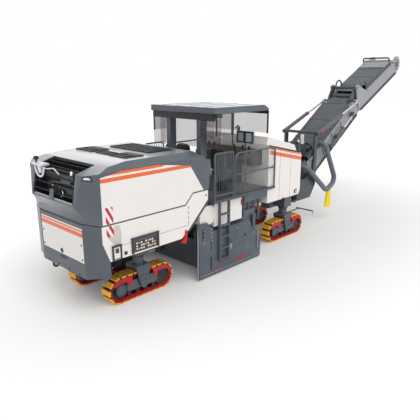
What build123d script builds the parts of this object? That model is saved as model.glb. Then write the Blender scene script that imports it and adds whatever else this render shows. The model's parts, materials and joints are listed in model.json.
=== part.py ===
from build123d import *
import os
from math import atan2, cos, degrees, hypot, pi, radians, sin

# Cold planer (road milling machine): four steered crawler tracks, milling drum between them, tilting engine
# hood at the rear, operator's platform with canopy in the middle, and a slewing, lifting and folding discharge
# conveyor. Millimetres. +X points forward, +Y to the left, +Z up. Sizes are given from the rear tracks' columns
# (X = 0) and the ground; the whole machine is then set with the middle of its box over the origin.

# Clearances
FIT = 0.3
RUN_GAP = 10.0

# Crawler tracks
TRACK_LENGTH = 1730.0
TRACK_HEIGHT = 610.0
TRACK_WIDTH = 300.0
TRACK_GAUGE = 1320.0
WHEEL_BASE = 5350.0
SHOE_COUNT = 24
SHOE_LENGTH = 134.0
SHOE_HEIGHT = 55.0
CHAIN_THICK = 35.0
TRACK_BEAM_HEIGHT = 220.0
TRACK_BEAM_WIDTH = 190.0
ROLLER_RADIUS = 50.0
ROLLER_PITCH = 220.0
HUB_RADIUS = 150.0
FORK_PLATE = 40.0
FORK_HALF_TOP = 180.0
FORK_HALF_FOOT = 85.0
FORK_TOP = 730.0
FORK_BRIDGE = 70.0
PIVOT_RADIUS = 45.0
COLUMN_RADIUS = 120.0
COLUMN_TOP = 1380.0

# Steering pointer on the front right track
POINTER_REACH = 720.0
POINTER_X = WHEEL_BASE + FORK_HALF_TOP + POINTER_REACH
POINTER_Y = 1145.0
POINTER_INNER_Y = 550.0
POINTER_Z = 690.0
POINTER_RADIUS = 18.0
POINTER_WHISKER = 190.0
WHISKER_RADIUS = 5.0

# Main frame
BEAM_INNER = 420.0
BEAM_WIDTH = 90.0
BEAM_BOTTOM = 1180.0
BEAM_TOP = 1400.0
BEAM_OVERHANG = 100.0
BEAM_FRONT = WHEEL_BASE + BEAM_OVERHANG
SLEEVE_HALF_LENGTH = 170.0
SLEEVE_WALL = 50.0
SLEEVE_BOTTOM = 950.0
CROSS_WIDTH = 100.0
OUTRIGGER_XS = (-800.0, 500.0)
OUTRIGGER_HALF = 40.0
OUTRIGGER_HEIGHT = 110.0
ARM_HALF = 150.0
ARM_BOTTOM = 760.0
ARM_HEIGHT = 140.0
ARM_NOSE = 160.0
ARM_REACH = 750.0
SLEW_X = BEAM_FRONT + ARM_REACH

# Body panels
BODY_HALF = 1250.0
PANEL_THICK = 50.0
PANEL_REAR = -1220.0
PANEL_BOTTOM = 1220.0
SPLIT_Z = 1930.0
SPLIT_STEP_Z = 2160.0
SPLIT_GAP = 15.0
FIN_FRONT = 1570.0
FIN_FOOT_X = 960.0
FIN_FOOT_Z = 1370.0
FIN_NOSE_Z = 1950.0
PANEL_KNEE_X = 750.0
STEP_FOOT_X = 890.0
STEP_TOP_X = 1120.0
TAIL_X = -1360.0
TAIL_HALF = 830.0
TAIL_CORNER_X = -1220.0
TAIL_WALL = 60.0
CORNER_TOP = 1610.0
CORNER_FRONT = -1070.0
CORNER_BOTTOM = 930.0
BUMPER_BOTTOM = 820.0
BUMPER_TOP = 1130.0
BUMPER_DEPTH = 160.0
TAIL_PANEL_HALF = 800.0
TAIL_PANEL_TOP = 1830.0
EYE_RADIUS = 35.0
EYE_LUG = 75.0
EYE_THICK = 40.0
EYE_Y = 500.0
EYE_INSET = 85.0
EYE_DROP = 60.0

# Hood
HOOD_TOP = 3050.0
HOOD_REAR = -1500.0
HOOD_REAR_HALF = 800.0
HOOD_WALL = 60.0
LIP_BOTTOM = 2070.0
LIP_TOP = 2280.0
HOOD_FRONT = 1630.0
SHOULDER_Z = 2930.0
SHOULDER_Y = 1080.0
HOOD_BEND_X = -1380.0
HOOD_BEND_Z = 2870.0
HOOD_BROW_X = -950.0
HOOD_BROW_Z = 3000.0
HOOD_ROOF_REAR = -500.0
HOOD_ROOF_FRONT = 1250.0
HOOD_NOSE_Z = 2800.0
HOOD_NOSE_LEAN = 30.0
HOOD_SIDE_TOP = 2915.0
FIELD_MARGIN = 30.0
FIELD_FOOT = 15.0
FIELD_DROP = 72.0
FIELD_TOP_REAR = -740.0
FIELD_TOP_FRONT = 150.0
FIELD_NOSE_X = 1035.0
FIELD_NOSE_DROP = 132.0
FIELD_FRONT = 1435.0
GRILLE_HALF = 760.0
GRILLE_FRAME = 20.0
SLAT_THICK = 14.0
SLAT_DEPTH = 70.0
SLAT_COUNT = 6
ROOF_GRILLE_HEIGHT = 30.0
ROOF_SLAT_PITCH = 60.0
ROOF_GRILLES = ((380, 1020, -700, 700), (-340, 110, 330, 950), (-330, -90, -290, 200), (-360, 100, -880, -340))
HINGE_X = 1665.0
HINGE_Z = 2790.0
HINGE_PIN = 15.0
HINGE_LUG_IN = 330.0
HINGE_LUG_WIDTH = 50.0

# Engine and cooler under the hood
ENGINE_REAR = -900.0
ENGINE_FRONT = 800.0
ENGINE_HALF = 450.0
ENGINE_TOP = 2450.0
COOLER_REAR = -1250.0
COOLER_THICK = 250.0
COOLER_HALF = 700.0
COOLER_TOP = 2700.0

# Milling drum, its housing, scraper and side plates
DRUM_X = 2500.0
DRUM_Z = 600.0
DRUM_RADIUS = 510.0
DRUM_CORE = 430.0
DRUM_HALF = 1000.0
DRUM_SHAFT = 120.0
TOOL_ROWS = 16
TOOLS_PER_ROW = 5
TOOL_WIDTH = 60.0
TOOL_LENGTH = 90.0
TOOL_HEIGHT = 140.0
TOOL_TWIST = 22.0
HOUSING_WALL = 40.0
HOUSING_REAR = 1360.0
HOUSING_FRONT = 3560.0
HOUSING_SKIRT = 150.0
DRUM_BOX_REAR = 1920.0
DRUM_BOX_FRONT = 3160.0
MOUTH_HALF = 430.0
PLATE_OUTER = 1190.0
PLATE_THICK = 30.0
PLATE_BOTTOM = 30.0
PLATE_REAR = 1300.0
PLATE_FRONT = 3620.0
PLATE_NOSE_Z = 420.0
PLATE_SHOULDER_X = 3300.0
PLATE_SHOULDER_Z = 800.0
PLATE_TOP_X = 3120.0
PLATE_TOP = 1120.0
PLATE_POST_FOOT_X = 1850.0
PLATE_POST_TOP_X = 1600.0
PLATE_POST_TOP = 1380.0
PLATE_ROD_XS = (1450.0, 3400.0)
PLATE_ROD_Y = 1092.0
PLATE_ROD = 25.0
PLATE_BARREL = 45.0
PLATE_BARREL_FOOT = 690.0
PLATE_ROD_TOP = 760.0
PLATE_LUG_Z = 120.0
SCRAPER_X = 1840.0
SCRAPER_THICK = 40.0
SCRAPER_BOTTOM = 40.0
SCRAPER_TOP = 760.0
SCRAPER_ROD_X = 1780.0
SCRAPER_ROD_Y = 700.0
SCRAPER_ROD = 22.0
SCRAPER_BARREL = 42.0
SCRAPER_BARREL_FOOT = 650.0
SCRAPER_ROD_TOP = 720.0
SCRAPER_LUG_Z = 200.0

# Loading conveyor, from the drum up to the discharge conveyor's hopper
LOADER_X = 3220.0
LOADER_Z = 870.0
LOADER_BACK = 350.0
LOADER_END_X = SLEW_X - LOADER_BACK
LOADER_END_Z = 2300.0
LOADER_HALF = 400.0
LOADER_PLATE = 30.0
LOADER_DEPTH = 400.0
LOADER_PULLEY = 100.0
LOADER_BELT_HALF = 350.0
BELT_THICK = 20.0
LOADER_LUG_LINE = 1470.0
LOADER_LUG_HALF = 75.0
LOADER_LUG_ZS = (1250.0, 1390.0)

# Front tank and the tanks under the platform
TANK_REAR = 3850.0
TANK_OVERHANG = 20.0
TANK_FRONT = WHEEL_BASE + TANK_OVERHANG
TANK_INSET = 50.0
TANK_HALF = BODY_HALF - TANK_INSET
TANK_TOP_REAR = 2930.0
TANK_TOP_FRONT = 2620.0
TANK_NOSE = 120.0
TANK_LID_RISE = 190.0
TANK_LID_INSET = 90.0
TUNNEL_GAP = 85.0
SIDE_TANK_IN = 700.0
SIDE_TANK_OUT = 1130.0
SIDE_TANK_BOTTOM = 1200.0
SIDE_TANK_REAR = 1420.0
SIDE_TANK_STEP = 1900.0
SIDE_TANK_FRONT = 2900.0
LAMP_POST_OUT = 25.0
LAMP_POST_X = TANK_FRONT + LAMP_POST_OUT
LAMP_POST_Y = 1100.0
LAMP_POST_RADIUS = 20.0
LAMP_POST_FOOT = 2300.0
LAMP_POST_TOP = 2950.0
LAMP_SIZE = 120.0

# Platform, railings, ladders, seats, console
PLATFORM_REAR = 1750.0
LEDGE_WIDTH = 55.0
PLATFORM_HALF = TANK_HALF + LEDGE_WIDTH
FLOOR_Z = 1850.0
FLOOR_THICK = 60.0
PEDESTAL_XS = (1950.0, 3600.0)
PEDESTAL_LENGTH = 150.0
PEDESTAL_HALF = 600.0
BULKHEAD_HALF = 700.0
BULKHEAD_TOP = 2830.0
BULKHEAD_THICK = 40.0
RAIL_RADIUS = 20.0
RAIL_Y = PLATFORM_HALF - RAIL_RADIUS
RAIL_REAR = 2500.0
RAIL_OVERLAP = 220.0
RAIL_FRONT = TANK_REAR + RAIL_OVERLAP
RAIL_TOP = 2870.0
RAIL_BEND = 140.0
GATE_REAR = 1800.0
GATE_FRONT = 2430.0
GATE_TOP = 2930.0
GATE_BARS = 7
GATE_BAR_RADIUS = 8.0
LADDER_REAR = 1950.0
LADDER_FRONT = 2300.0
LADDER_FOOT = 330.0
LADDER_DEPTH = 70.0
LADDER_SET = 50.0
STRINGER = 30.0
RUNG_COUNT = 5
RUNG_HEIGHT = 30.0
SEAT_X = 2500.0
SEAT_Y = 620.0
SEAT_WIDTH = 480.0
SEAT_LENGTH = 460.0
SEAT_HEIGHT = 520.0
SEAT_PAD = 110.0
SEAT_BACK = 560.0
CONSOLE_REAR = 3380.0
CONSOLE_HALF = 1000.0
CONSOLE_TOP = 2800.0
CONSOLE_LIP = 2650.0
CONSOLE_UNDER = 2400.0
CONSOLE_FOOT_HALF = 330.0
DISPLAY_X = 3150.0
DISPLAY_Y = 1000.0
DISPLAY_WIDTH = 250.0
DISPLAY_HEIGHT = 280.0
DISPLAY_DEPTH = 40.0
DISPLAY_Z = 3040.0

# Canopy
ROOF_REAR = 1930.0
ROOF_FRONT = 3940.0
ROOF_HALF = 1100.0
ROOF_TOP = 3930.0
ROOF_FASCIA = 150.0
ROOF_WALL = 40.0
ROOF_NOSE = 90.0
POST_X = 2000.0
POST_LENGTH = 200.0
POST_WIDTH = 150.0
POST_Y = 530.0
PANE_THICK = 12.0
REAR_PANE_BOTTOM = 2970.0
SIDE_PANE_FRONT = 2560.0
SIDE_PANE_BOTTOM = 3300.0
SCREEN_BOTTOM = 3220.0

# Ground controls
CONTROL_REAR = -550.0
CONTROL_FRONT = 70.0
CONTROL_BOTTOM = 1240.0
CONTROL_TOP = 1540.0
CONTROL_DEPTH = 20.0
SMALL_BOX_REAR = -1020.0
SMALL_BOX_FRONT = -830.0
SMALL_BOX_TOP = 1520.0

# Slew frame
SLEW_PIN = 90.0
SLEW_PIN_DEPTH = 115.0
SLEW_BASE_BACK = 200.0
SLEW_BASE_AHEAD = 750.0
SLEW_BASE_REAR = SLEW_X - SLEW_BASE_BACK
SLEW_BASE_FRONT = SLEW_X + SLEW_BASE_AHEAD
SLEW_BASE_THICK = 55.0
SLEW_GAP = 5.0
CHEEK_IN = 520.0
CHEEK_THICK = 60.0
CHEEK_FRONT_Z = 1300.0
CHEEK_BACK_Z = 1750.0
MAST_AHEAD = 1020.0
MAST_LENGTH = 160.0
MAST_FRONT = SLEW_X + MAST_AHEAD
MAST_REAR = MAST_FRONT - MAST_LENGTH
MAST_TOP = 2960.0
MAST_BAR = 80.0

# Discharge conveyor
LIFT_AHEAD = 250.0
LIFT_X = SLEW_X + LIFT_AHEAD
LIFT_Z = 1450.0
LIFT_PIN = 50.0
LOWER_AHEAD = 100.0
LOWER_X = SLEW_X + LOWER_AHEAD
LOWER_Z = 1050.0
LOWER_ANGLE = 32.9
LOWER_LENGTH = 4350.0
LOWER_DEPTH = 550.0
FOLD_GAP = 55.0
UPPER_ANGLE = 25.5
UPPER_LENGTH = 3500.0
UPPER_DEPTH = 500.0
HEAD_RADIUS = 290.0
HEAD_RAMP = 450.0
GUSSET_LENGTH = 500.0
BOOM_HALF = 500.0
BOOM_PLATE = 50.0
BELT_HALF = 375.0
LOWER_PULLEY = 110.0
LOWER_BELT_N = 250.0
UPPER_PULLEY = 150.0
UPPER_BELT_N = 250.0
PULLEY_INSET = 200.0
HOPPER_RISE = 150.0
HOPPER_START = 200.0
HOPPER_LENGTH = 700.0
COVER_HEIGHT = 140.0
COVER_WALL = 25.0
LOWER_COVER_START = 1050.0
LOWER_COVER_GAP = 450.0
LOWER_APRON = 230.0
UPPER_COVER_START = 700.0
UPPER_COVER_GAP = 750.0
UPPER_APRON = 450.0
CROSS_TUBE = 30.0
LOWER_TUBE_START = 800.0
LOWER_TUBE_GAP = 1350.0
UPPER_TUBE_START = 900.0
UPPER_TUBE_GAP = 1100.0
TUBE_COUNT = 3
FOLD_AHEAD = 285.0
FOLD_RISE = 263.0
FOLD_PIN = 45.0
FOLD_BOSS = 75.0
EAR_IN = 385.0
EAR_THICK = 55.0
EAR_LENGTH = 430.0
EAR_END = 20.0
EAR_DEPTH = 250.0

# Lift cylinders
MAST_PIN_BACK = 70.0
MAST_PIN_DROP = 60.0
MAST_PIN_X = MAST_FRONT - MAST_PIN_BACK
MAST_PIN_Z = MAST_TOP - MAST_PIN_DROP
MAST_PIN = 30.0
ROD_EYE_BACK = 127.5
ROD_EYE_DROP = 6.5
CYLINDER_Y = 645.0
CYLINDER_EYE = 65.0
CYLINDER_EYE_WIDTH = 80.0
BARREL_RADIUS = 60.0
BARREL_LENGTH = 1450.0
BARREL_FLOOR = 300.0
ROD_RADIUS = 32.0
ROD_START = 520.0
EYE_STUB = 35.0

# Suction duct beside the boom
DUCT_RADIUS = 80.0
DUCT_Y = 700.0
DUCT_BEND = 240.0
DUCT_ROUTE = ((300.0, 1930.0), (1530.0, 1010.0), (2100.0, 1260.0), (1280.0, 2560.0))
SLEEVE_AHEAD = 1680.0
SLEEVE_X = SLEW_X + SLEEVE_AHEAD
SLEEVE_HALF_TOP = 70.0
SLEEVE_HALF_FOOT = 110.0
SLEEVE_HALF_DEPTH = 35.0
SLEEVE_FOOT = 420.0
SLEEVE_HEAD = 1010.0


def block(x0, x1, y0, y1, z0, z1):
    """Box between two corners."""
    return Pos((x0 + x1) / 2, (y0 + y1) / 2, (z0 + z1) / 2) * Box(x1 - x0, y1 - y0, z1 - z0)


def side_prism(points, y0, y1):
    """Outline drawn in the side view (x, z), as thick as y0 to y1."""
    return extrude(Plane.XZ.offset(-y1) * make_face(Polyline(*points, close=True)), amount=y1 - y0)


def plan_prism(points, z0, z1):
    """Outline drawn in the plan (x, y), from z0 up to z1."""
    return extrude(Pos(0, 0, z0) * make_face(Polyline(*points, close=True)), amount=z1 - z0)


def end_prism(points, x0, x1):
    """Outline drawn in the end view (y, z), from x0 to x1."""
    return extrude(Plane.YZ.offset(x0) * make_face(Polyline(*points, close=True)), amount=x1 - x0)


def rod_y(x, z, radius, y0, y1):
    """Round bar across the machine."""
    return Pos(x, (y0 + y1) / 2, z) * Rot(90, 0, 0) * Cylinder(radius, y1 - y0)


def rod_z(x, y, radius, z0, z1):
    """Upright round bar."""
    return Pos(x, y, (z0 + z1) / 2) * Cylinder(radius, z1 - z0)


def rod_x(y, z, radius, x0, x1):
    """Round bar along the machine."""
    return Pos((x0 + x1) / 2, y, z) * Rot(0, 90, 0) * Cylinder(radius, x1 - x0)


def both_sides(part):
    """A left-hand piece with its mirror image on the right."""
    return part + mirror(part, about=Plane.XZ)


def along(x, z, angle, points):
    """Points given along (s) and square to (n) a sloping line, as side-view points (x, z)."""
    c, s = cos(radians(angle)), sin(radians(angle))
    return [(x + p * c - q * s, z + p * s + q * c) for p, q in points]


def belt_loop(x, z, angle, start, end, n, inner, half):
    """Endless belt round two equal pulleys on a sloping frame."""
    mid_x, mid_z = along(x, z, angle, [((start + end) / 2, n)])[0]
    outer = inner + BELT_THICK
    ring = SlotCenterToCenter(end - start, 2 * outer) - SlotCenterToCenter(end - start, 2 * inner)
    belt = extrude(Plane.XZ.offset(-half) * ring, amount=2 * half)
    return Pos(mid_x, 0, mid_z) * Rot(0, -angle, 0) * belt


TRACKS = {
    "rear_right": (0.0, -1),
    "rear_left": (0.0, 1),
    "front_right": (WHEEL_BASE, -1),
    "front_left": (WHEEL_BASE, 1),
}
TRACK_Y = TRACK_GAUGE / 2
AXLE_Z = TRACK_HEIGHT / 2
WHEEL_X = TRACK_LENGTH / 2 - TRACK_HEIGHT / 2
CHAIN_OUTER = TRACK_HEIGHT / 2 - SHOE_HEIGHT
CHAIN_INNER = CHAIN_OUTER - CHAIN_THICK


def place_on_loop(distance):
    """Point and turn at a distance round the chain, from the front wheel's top."""
    straight, bend = 2 * WHEEL_X, pi * CHAIN_OUTER
    if distance < bend:
        turn = distance / CHAIN_OUTER
        return WHEEL_X + CHAIN_OUTER * sin(turn), CHAIN_OUTER * cos(turn), -degrees(turn)
    if distance < bend + straight:
        return WHEEL_X - (distance - bend), -CHAIN_OUTER, 180
    if distance < 2 * bend + straight:
        turn = (distance - bend - straight) / CHAIN_OUTER
        return -WHEEL_X - CHAIN_OUTER * sin(turn), -CHAIN_OUTER * cos(turn), 180 - degrees(turn)
    return -WHEEL_X + distance - 2 * bend - straight, CHAIN_OUTER, 0


def track_loop():
    """Endless chain with its shoes, as one loop."""
    outline = SlotOverall(2 * (WHEEL_X + CHAIN_OUTER), 2 * CHAIN_OUTER)
    pitch = (4 * WHEEL_X + 2 * pi * CHAIN_OUTER) / SHOE_COUNT
    for k in range(SHOE_COUNT):
        x, z, turn = place_on_loop((k + 0.5) * pitch)
        outline += Pos(x, z) * Rot(0, 0, turn) * Rectangle(SHOE_LENGTH, 2 * SHOE_HEIGHT)
    outline &= SlotOverall(TRACK_LENGTH, TRACK_HEIGHT)
    outline -= SlotOverall(2 * (WHEEL_X + CHAIN_INNER), 2 * CHAIN_INNER)
    return Pos(0, TRACK_WIDTH / 2, AXLE_Z) * extrude(Plane.XZ * outline, amount=TRACK_WIDTH)


def track_frame(side):
    """Beam inside the loop with its wheels, rollers, drive hub and pivot pin."""
    half = TRACK_BEAM_WIDTH / 2
    beam = block(-WHEEL_X, WHEEL_X, -half, half, AXLE_Z - TRACK_BEAM_HEIGHT / 2, AXLE_Z + TRACK_BEAM_HEIGHT / 2)
    for x in (-WHEEL_X, WHEEL_X):
        beam += rod_y(x, AXLE_Z, CHAIN_INNER - FIT, -half, half)
    for k in (-1.5, -0.5, 0.5, 1.5):
        z = AXLE_Z - CHAIN_INNER + FIT + ROLLER_RADIUS
        beam += rod_y(k * ROLLER_PITCH, z, ROLLER_RADIUS, -half, half)
        beam += block(k * ROLLER_PITCH - 25, k * ROLLER_PITCH + 25, -half, half, z, AXLE_Z)
    hub_end = side * (TRACK_WIDTH / 2)
    beam += rod_y(-WHEEL_X, AXLE_Z, HUB_RADIUS, min(0, hub_end), max(0, hub_end))
    pin_half = TRACK_WIDTH / 2 + RUN_GAP + FORK_PLATE
    return beam + rod_y(0, AXLE_Z, PIVOT_RADIUS, -pin_half, pin_half)


def track_fork():
    """Saddle over the loop, held on the pivot pin, with the steering column on top."""
    inner = TRACK_WIDTH / 2 + RUN_GAP
    outline = [(-FORK_HALF_TOP, FORK_TOP), (FORK_HALF_TOP, FORK_TOP), (FORK_HALF_TOP, FORK_TOP - FORK_BRIDGE),
               (FORK_HALF_FOOT, AXLE_Z), (FORK_HALF_FOOT / 2, AXLE_Z - FORK_HALF_FOOT),
               (-FORK_HALF_FOOT / 2, AXLE_Z - FORK_HALF_FOOT), (-FORK_HALF_FOOT, AXLE_Z),
               (-FORK_HALF_TOP, FORK_TOP - FORK_BRIDGE)]
    cheek = side_prism(outline, inner, inner + FORK_PLATE)
    fork = both_sides(cheek - rod_y(0, AXLE_Z, PIVOT_RADIUS + FIT, inner, inner + FORK_PLATE))
    width = inner + FORK_PLATE
    fork += block(-FORK_HALF_TOP, FORK_HALF_TOP, -width, width, FORK_TOP - FORK_BRIDGE, FORK_TOP)
    return fork + rod_z(0, 0, COLUMN_RADIUS, FORK_TOP, COLUMN_TOP)


def steering_pointer():
    """T-shaped pointer ahead of the front right track, with a thin whisker at its outer end."""
    stem = rod_x(-TRACK_Y, POINTER_Z, POINTER_RADIUS, WHEEL_BASE + FORK_HALF_TOP, POINTER_X)
    bar = rod_y(POINTER_X, POINTER_Z, POINTER_RADIUS, -POINTER_Y, -POINTER_INNER_Y)
    whisker_y = -POINTER_Y + POINTER_RADIUS
    whisker = rod_z(POINTER_X, whisker_y, WHISKER_RADIUS, POINTER_Z - POINTER_WHISKER, POINTER_Z)
    return stem + bar + whisker


BEAM_OUTER = BEAM_INNER + BEAM_WIDTH
BEAM_REAR = TAIL_X + PANEL_THICK
ARM_TOP = ARM_BOTTOM + ARM_HEIGHT
PANEL_INNER = BODY_HALF - PANEL_THICK


def main_frame():
    """Two side members with leg sleeves, cross members, outriggers and the front arm with the slew bearing."""
    side = block(BEAM_REAR, BEAM_FRONT, BEAM_INNER, BEAM_OUTER, BEAM_BOTTOM, BEAM_TOP)
    sleeve_out = TRACK_Y + COLUMN_RADIUS + SLEEVE_WALL
    for x in (0.0, WHEEL_BASE):
        side += block(x - SLEEVE_HALF_LENGTH, x + SLEEVE_HALF_LENGTH, BEAM_INNER, sleeve_out,
                      SLEEVE_BOTTOM, BEAM_TOP)
        side -= rod_z(x, TRACK_Y, COLUMN_RADIUS + FIT, SLEEVE_BOTTOM, BEAM_TOP)
    foot = PANEL_BOTTOM + RUN_GAP
    for x in OUTRIGGER_XS:
        side += block(x - OUTRIGGER_HALF, x + OUTRIGGER_HALF, BEAM_OUTER, PANEL_INNER,
                      foot, foot + OUTRIGGER_HEIGHT)
    frame = both_sides(side)
    for x in (BEAM_REAR, ENGINE_FRONT, BEAM_FRONT - CROSS_WIDTH):
        frame += block(x, x + CROSS_WIDTH, -BEAM_INNER, BEAM_INNER, BEAM_BOTTOM, BEAM_TOP)
    frame += block(BEAM_FRONT - CROSS_WIDTH, BEAM_FRONT, -ARM_HALF, ARM_HALF, ARM_BOTTOM, BEAM_BOTTOM)
    frame += block(BEAM_FRONT - CROSS_WIDTH, SLEW_X, -ARM_HALF, ARM_HALF, ARM_BOTTOM, ARM_TOP)
    frame += rod_z(SLEW_X, 0, ARM_NOSE, ARM_BOTTOM, ARM_TOP)
    return frame - rod_z(SLEW_X, 0, SLEW_PIN + FIT, ARM_BOTTOM, ARM_TOP)


def lower_side_panels():
    """Fixed white side panels below the hood, with the fin that reaches up behind the platform."""
    outline = [(PANEL_REAR, CORNER_TOP), (CORNER_FRONT, PANEL_BOTTOM), (PANEL_KNEE_X, PANEL_BOTTOM),
               (FIN_FOOT_X, FIN_FOOT_Z), (FIN_FRONT, FIN_NOSE_Z), (FIN_FRONT, SPLIT_STEP_Z),
               (STEP_TOP_X, SPLIT_STEP_Z), (STEP_FOOT_X, SPLIT_Z), (PANEL_REAR, SPLIT_Z)]
    return both_sides(side_prism(outline, PANEL_INNER, BODY_HALF))


EYE_X = TAIL_X + EYE_INSET
EYE_Z = BUMPER_BOTTOM - EYE_DROP


def tail():
    """Grey tail: wall with angled corners, the bumper below it and two towing eyes under the bumper."""
    outline = [(TAIL_CORNER_X, BODY_HALF), (TAIL_X, TAIL_HALF), (TAIL_X, -TAIL_HALF), (TAIL_CORNER_X, -BODY_HALF),
               (TAIL_CORNER_X, -BODY_HALF + TAIL_WALL), (TAIL_X + TAIL_WALL, -TAIL_HALF + TAIL_WALL),
               (TAIL_X + TAIL_WALL, TAIL_HALF - TAIL_WALL), (TAIL_CORNER_X, BODY_HALF - TAIL_WALL)]
    wall = plan_prism(outline, BUMPER_BOTTOM, SPLIT_Z)
    wall += block(TAIL_X, TAIL_X + BUMPER_DEPTH, -TAIL_PANEL_HALF, TAIL_PANEL_HALF, BUMPER_BOTTOM, BUMPER_TOP)
    wall -= block(TAIL_X, TAIL_X + TAIL_WALL, -TAIL_PANEL_HALF, TAIL_PANEL_HALF, BUMPER_TOP, TAIL_PANEL_TOP)
    wing = [(TAIL_CORNER_X, CORNER_TOP), (CORNER_FRONT, PANEL_BOTTOM), (CORNER_FRONT, CORNER_BOTTOM),
            (TAIL_CORNER_X, BUMPER_BOTTOM)]
    wall += both_sides(side_prism(wing, BODY_HALF - TAIL_WALL, BODY_HALF))
    corner = [(TAIL_HALF, BUMPER_BOTTOM - 1), (BODY_HALF + 1, BUMPER_BOTTOM - 1), (BODY_HALF + 1, CORNER_BOTTOM)]
    cut = end_prism(corner, TAIL_X - 1, TAIL_CORNER_X + 1)
    wall -= both_sides(cut)
    inner = TAIL_X + PANEL_THICK
    wall += block(inner, TAIL_X + BUMPER_DEPTH, -TAIL_PANEL_HALF, TAIL_PANEL_HALF, BUMPER_TOP, BEAM_BOTTOM)
    y0, y1 = EYE_Y - EYE_THICK / 2, EYE_Y + EYE_THICK / 2
    eye = rod_y(EYE_X, EYE_Z, EYE_LUG, y0, y1)
    eye += block(EYE_X - EYE_LUG, EYE_X + EYE_LUG, y0, y1, EYE_Z, BUMPER_BOTTOM + RUN_GAP)
    eye -= rod_y(EYE_X, EYE_Z, EYE_RADIUS, y0, y1)
    return wall + both_sides(eye)


def tail_panel():
    """White service panel set into the tail wall."""
    half = TAIL_PANEL_HALF - FIT
    return block(TAIL_X, BEAM_REAR, -half, half, BUMPER_TOP, TAIL_PANEL_TOP - FIT)


HOOD_SPLIT = SPLIT_Z + SPLIT_GAP
HOOD_STEP = SPLIT_STEP_Z + SPLIT_GAP
GRILLE_LINE = [(HOOD_REAR, LIP_TOP + RUN_GAP), (HOOD_BEND_X, HOOD_BEND_Z), (HOOD_BROW_X - RUN_GAP, HOOD_BROW_Z)]


def corner_plan(rear, rear_half, inset):
    """Plan of the rear body with its angled corners."""
    half, corner = BODY_HALF - inset, TAIL_CORNER_X + inset / 2
    rear, rear_half = rear + inset, rear_half - inset / 2
    return make_face(Polyline((corner, half), (rear, rear_half), (rear, -rear_half), (corner, -half),
                              (HOOD_FRONT, -half), (HOOD_FRONT, half), close=True))


def corner_form(inset):
    """Body whose corners flare out above the lip, from the tail's plan to the hood's."""
    low = corner_plan(TAIL_X, TAIL_HALF, inset)
    high = corner_plan(HOOD_REAR, HOOD_REAR_HALF, inset)
    form = extrude(Pos(0, 0, HOOD_SPLIT) * low, amount=LIP_BOTTOM - HOOD_SPLIT)
    form += loft([Pos(0, 0, LIP_BOTTOM) * low, Pos(0, 0, LIP_TOP) * high], ruled=True)
    return form + extrude(Pos(0, 0, LIP_TOP) * high, amount=HOOD_TOP - LIP_TOP)


def hood_solid(inset):
    """Hood's outer form, drawn in by a wall thickness."""
    outline = [(TAIL_X, HOOD_SPLIT), (TAIL_X, LIP_BOTTOM), (HOOD_REAR, LIP_TOP), (HOOD_BEND_X, HOOD_BEND_Z),
               (HOOD_BROW_X, HOOD_BROW_Z), (HOOD_ROOF_REAR, HOOD_TOP), (HOOD_ROOF_FRONT, HOOD_TOP),
               (HOOD_FRONT, HOOD_NOSE_Z), (HOOD_FRONT - HOOD_NOSE_LEAN, HOOD_STEP), (STEP_TOP_X, HOOD_STEP),
               (STEP_FOOT_X, HOOD_SPLIT)]
    side_face = make_face(Polyline(*outline, close=True))
    if inset:
        side_face = offset(side_face, amount=-inset, kind=Kind.INTERSECTION)
    half = BODY_HALF - inset
    form = extrude(Plane.XZ.offset(-half) * side_face, amount=2 * half)
    form &= corner_form(inset)
    shoulder_y, shoulder_z, top = SHOULDER_Y - inset / 2, SHOULDER_Z - inset / 2, HOOD_TOP - inset
    return form & end_prism([(half, HOOD_SPLIT), (half, shoulder_z), (shoulder_y, top), (-shoulder_y, top),
                             (-half, shoulder_z), (-half, HOOD_SPLIT)], HOOD_REAR, HOOD_FRONT)


def hood_side_outline():
    """White field on the hood's side."""
    rear, foot, step = PANEL_REAR + FIELD_MARGIN, HOOD_SPLIT + FIELD_FOOT, HOOD_STEP + FIELD_FOOT
    return [(rear, foot), (rear, HOOD_SIDE_TOP - FIELD_DROP), (FIELD_TOP_REAR, HOOD_SIDE_TOP),
            (FIELD_TOP_FRONT, HOOD_SIDE_TOP), (FIELD_NOSE_X, HOOD_SIDE_TOP - FIELD_NOSE_DROP), (FIELD_FRONT, step),
            (STEP_TOP_X - FIELD_FOOT, step), (STEP_FOOT_X - FIELD_FOOT, foot)]


def hood_shell():
    """Hollow hood, open below, with the grille's opening at the rear and recesses for the side panels."""
    shell = hood_solid(0) - hood_solid(HOOD_WALL)
    inner = BODY_HALF - HOOD_WALL
    front_x = HOOD_FRONT - HOOD_NOSE_LEAN - HOOD_WALL
    shell -= block(TAIL_CORNER_X, front_x, -inner, inner, HOOD_SPLIT, HOOD_STEP + HOOD_WALL)
    tail_half = HOOD_REAR_HALF - HOOD_WALL
    shell -= block(TAIL_X + HOOD_WALL, TAIL_CORNER_X, -tail_half, tail_half, HOOD_SPLIT, HOOD_STEP + HOOD_WALL)
    low, bend, high = GRILLE_LINE
    opening = [(low[0] - 1, low[1] + 30), (low[0] + 150, low[1] + 30), (bend[0] + 130, bend[1] - 140),
               (high[0], high[1] - 130), (high[0], high[1] + 60), (low[0] - 1, high[1] + 60)]
    shell -= side_prism(opening, -GRILLE_HALF, GRILLE_HALF)
    shell -= both_sides(side_prism(hood_side_outline(), PANEL_INNER, BODY_HALF))
    y0, y1 = HINGE_LUG_IN, HINGE_LUG_IN + HINGE_LUG_WIDTH - FIT
    lug = block(HOOD_FRONT - 25, HINGE_X, y0, y1, HINGE_Z - 30, HINGE_Z)
    lug += rod_y(HINGE_X, HINGE_Z, 2 * HINGE_PIN, y0, y1)
    lug += rod_y(HINGE_X, HINGE_Z, HINGE_PIN, y0, y1 + HINGE_LUG_WIDTH)
    return shell + both_sides(lug)


def hood_side_panels():
    """White panels let into the hood's sides."""
    return both_sides(side_prism(hood_side_outline(), PANEL_INNER, BODY_HALF))


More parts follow.
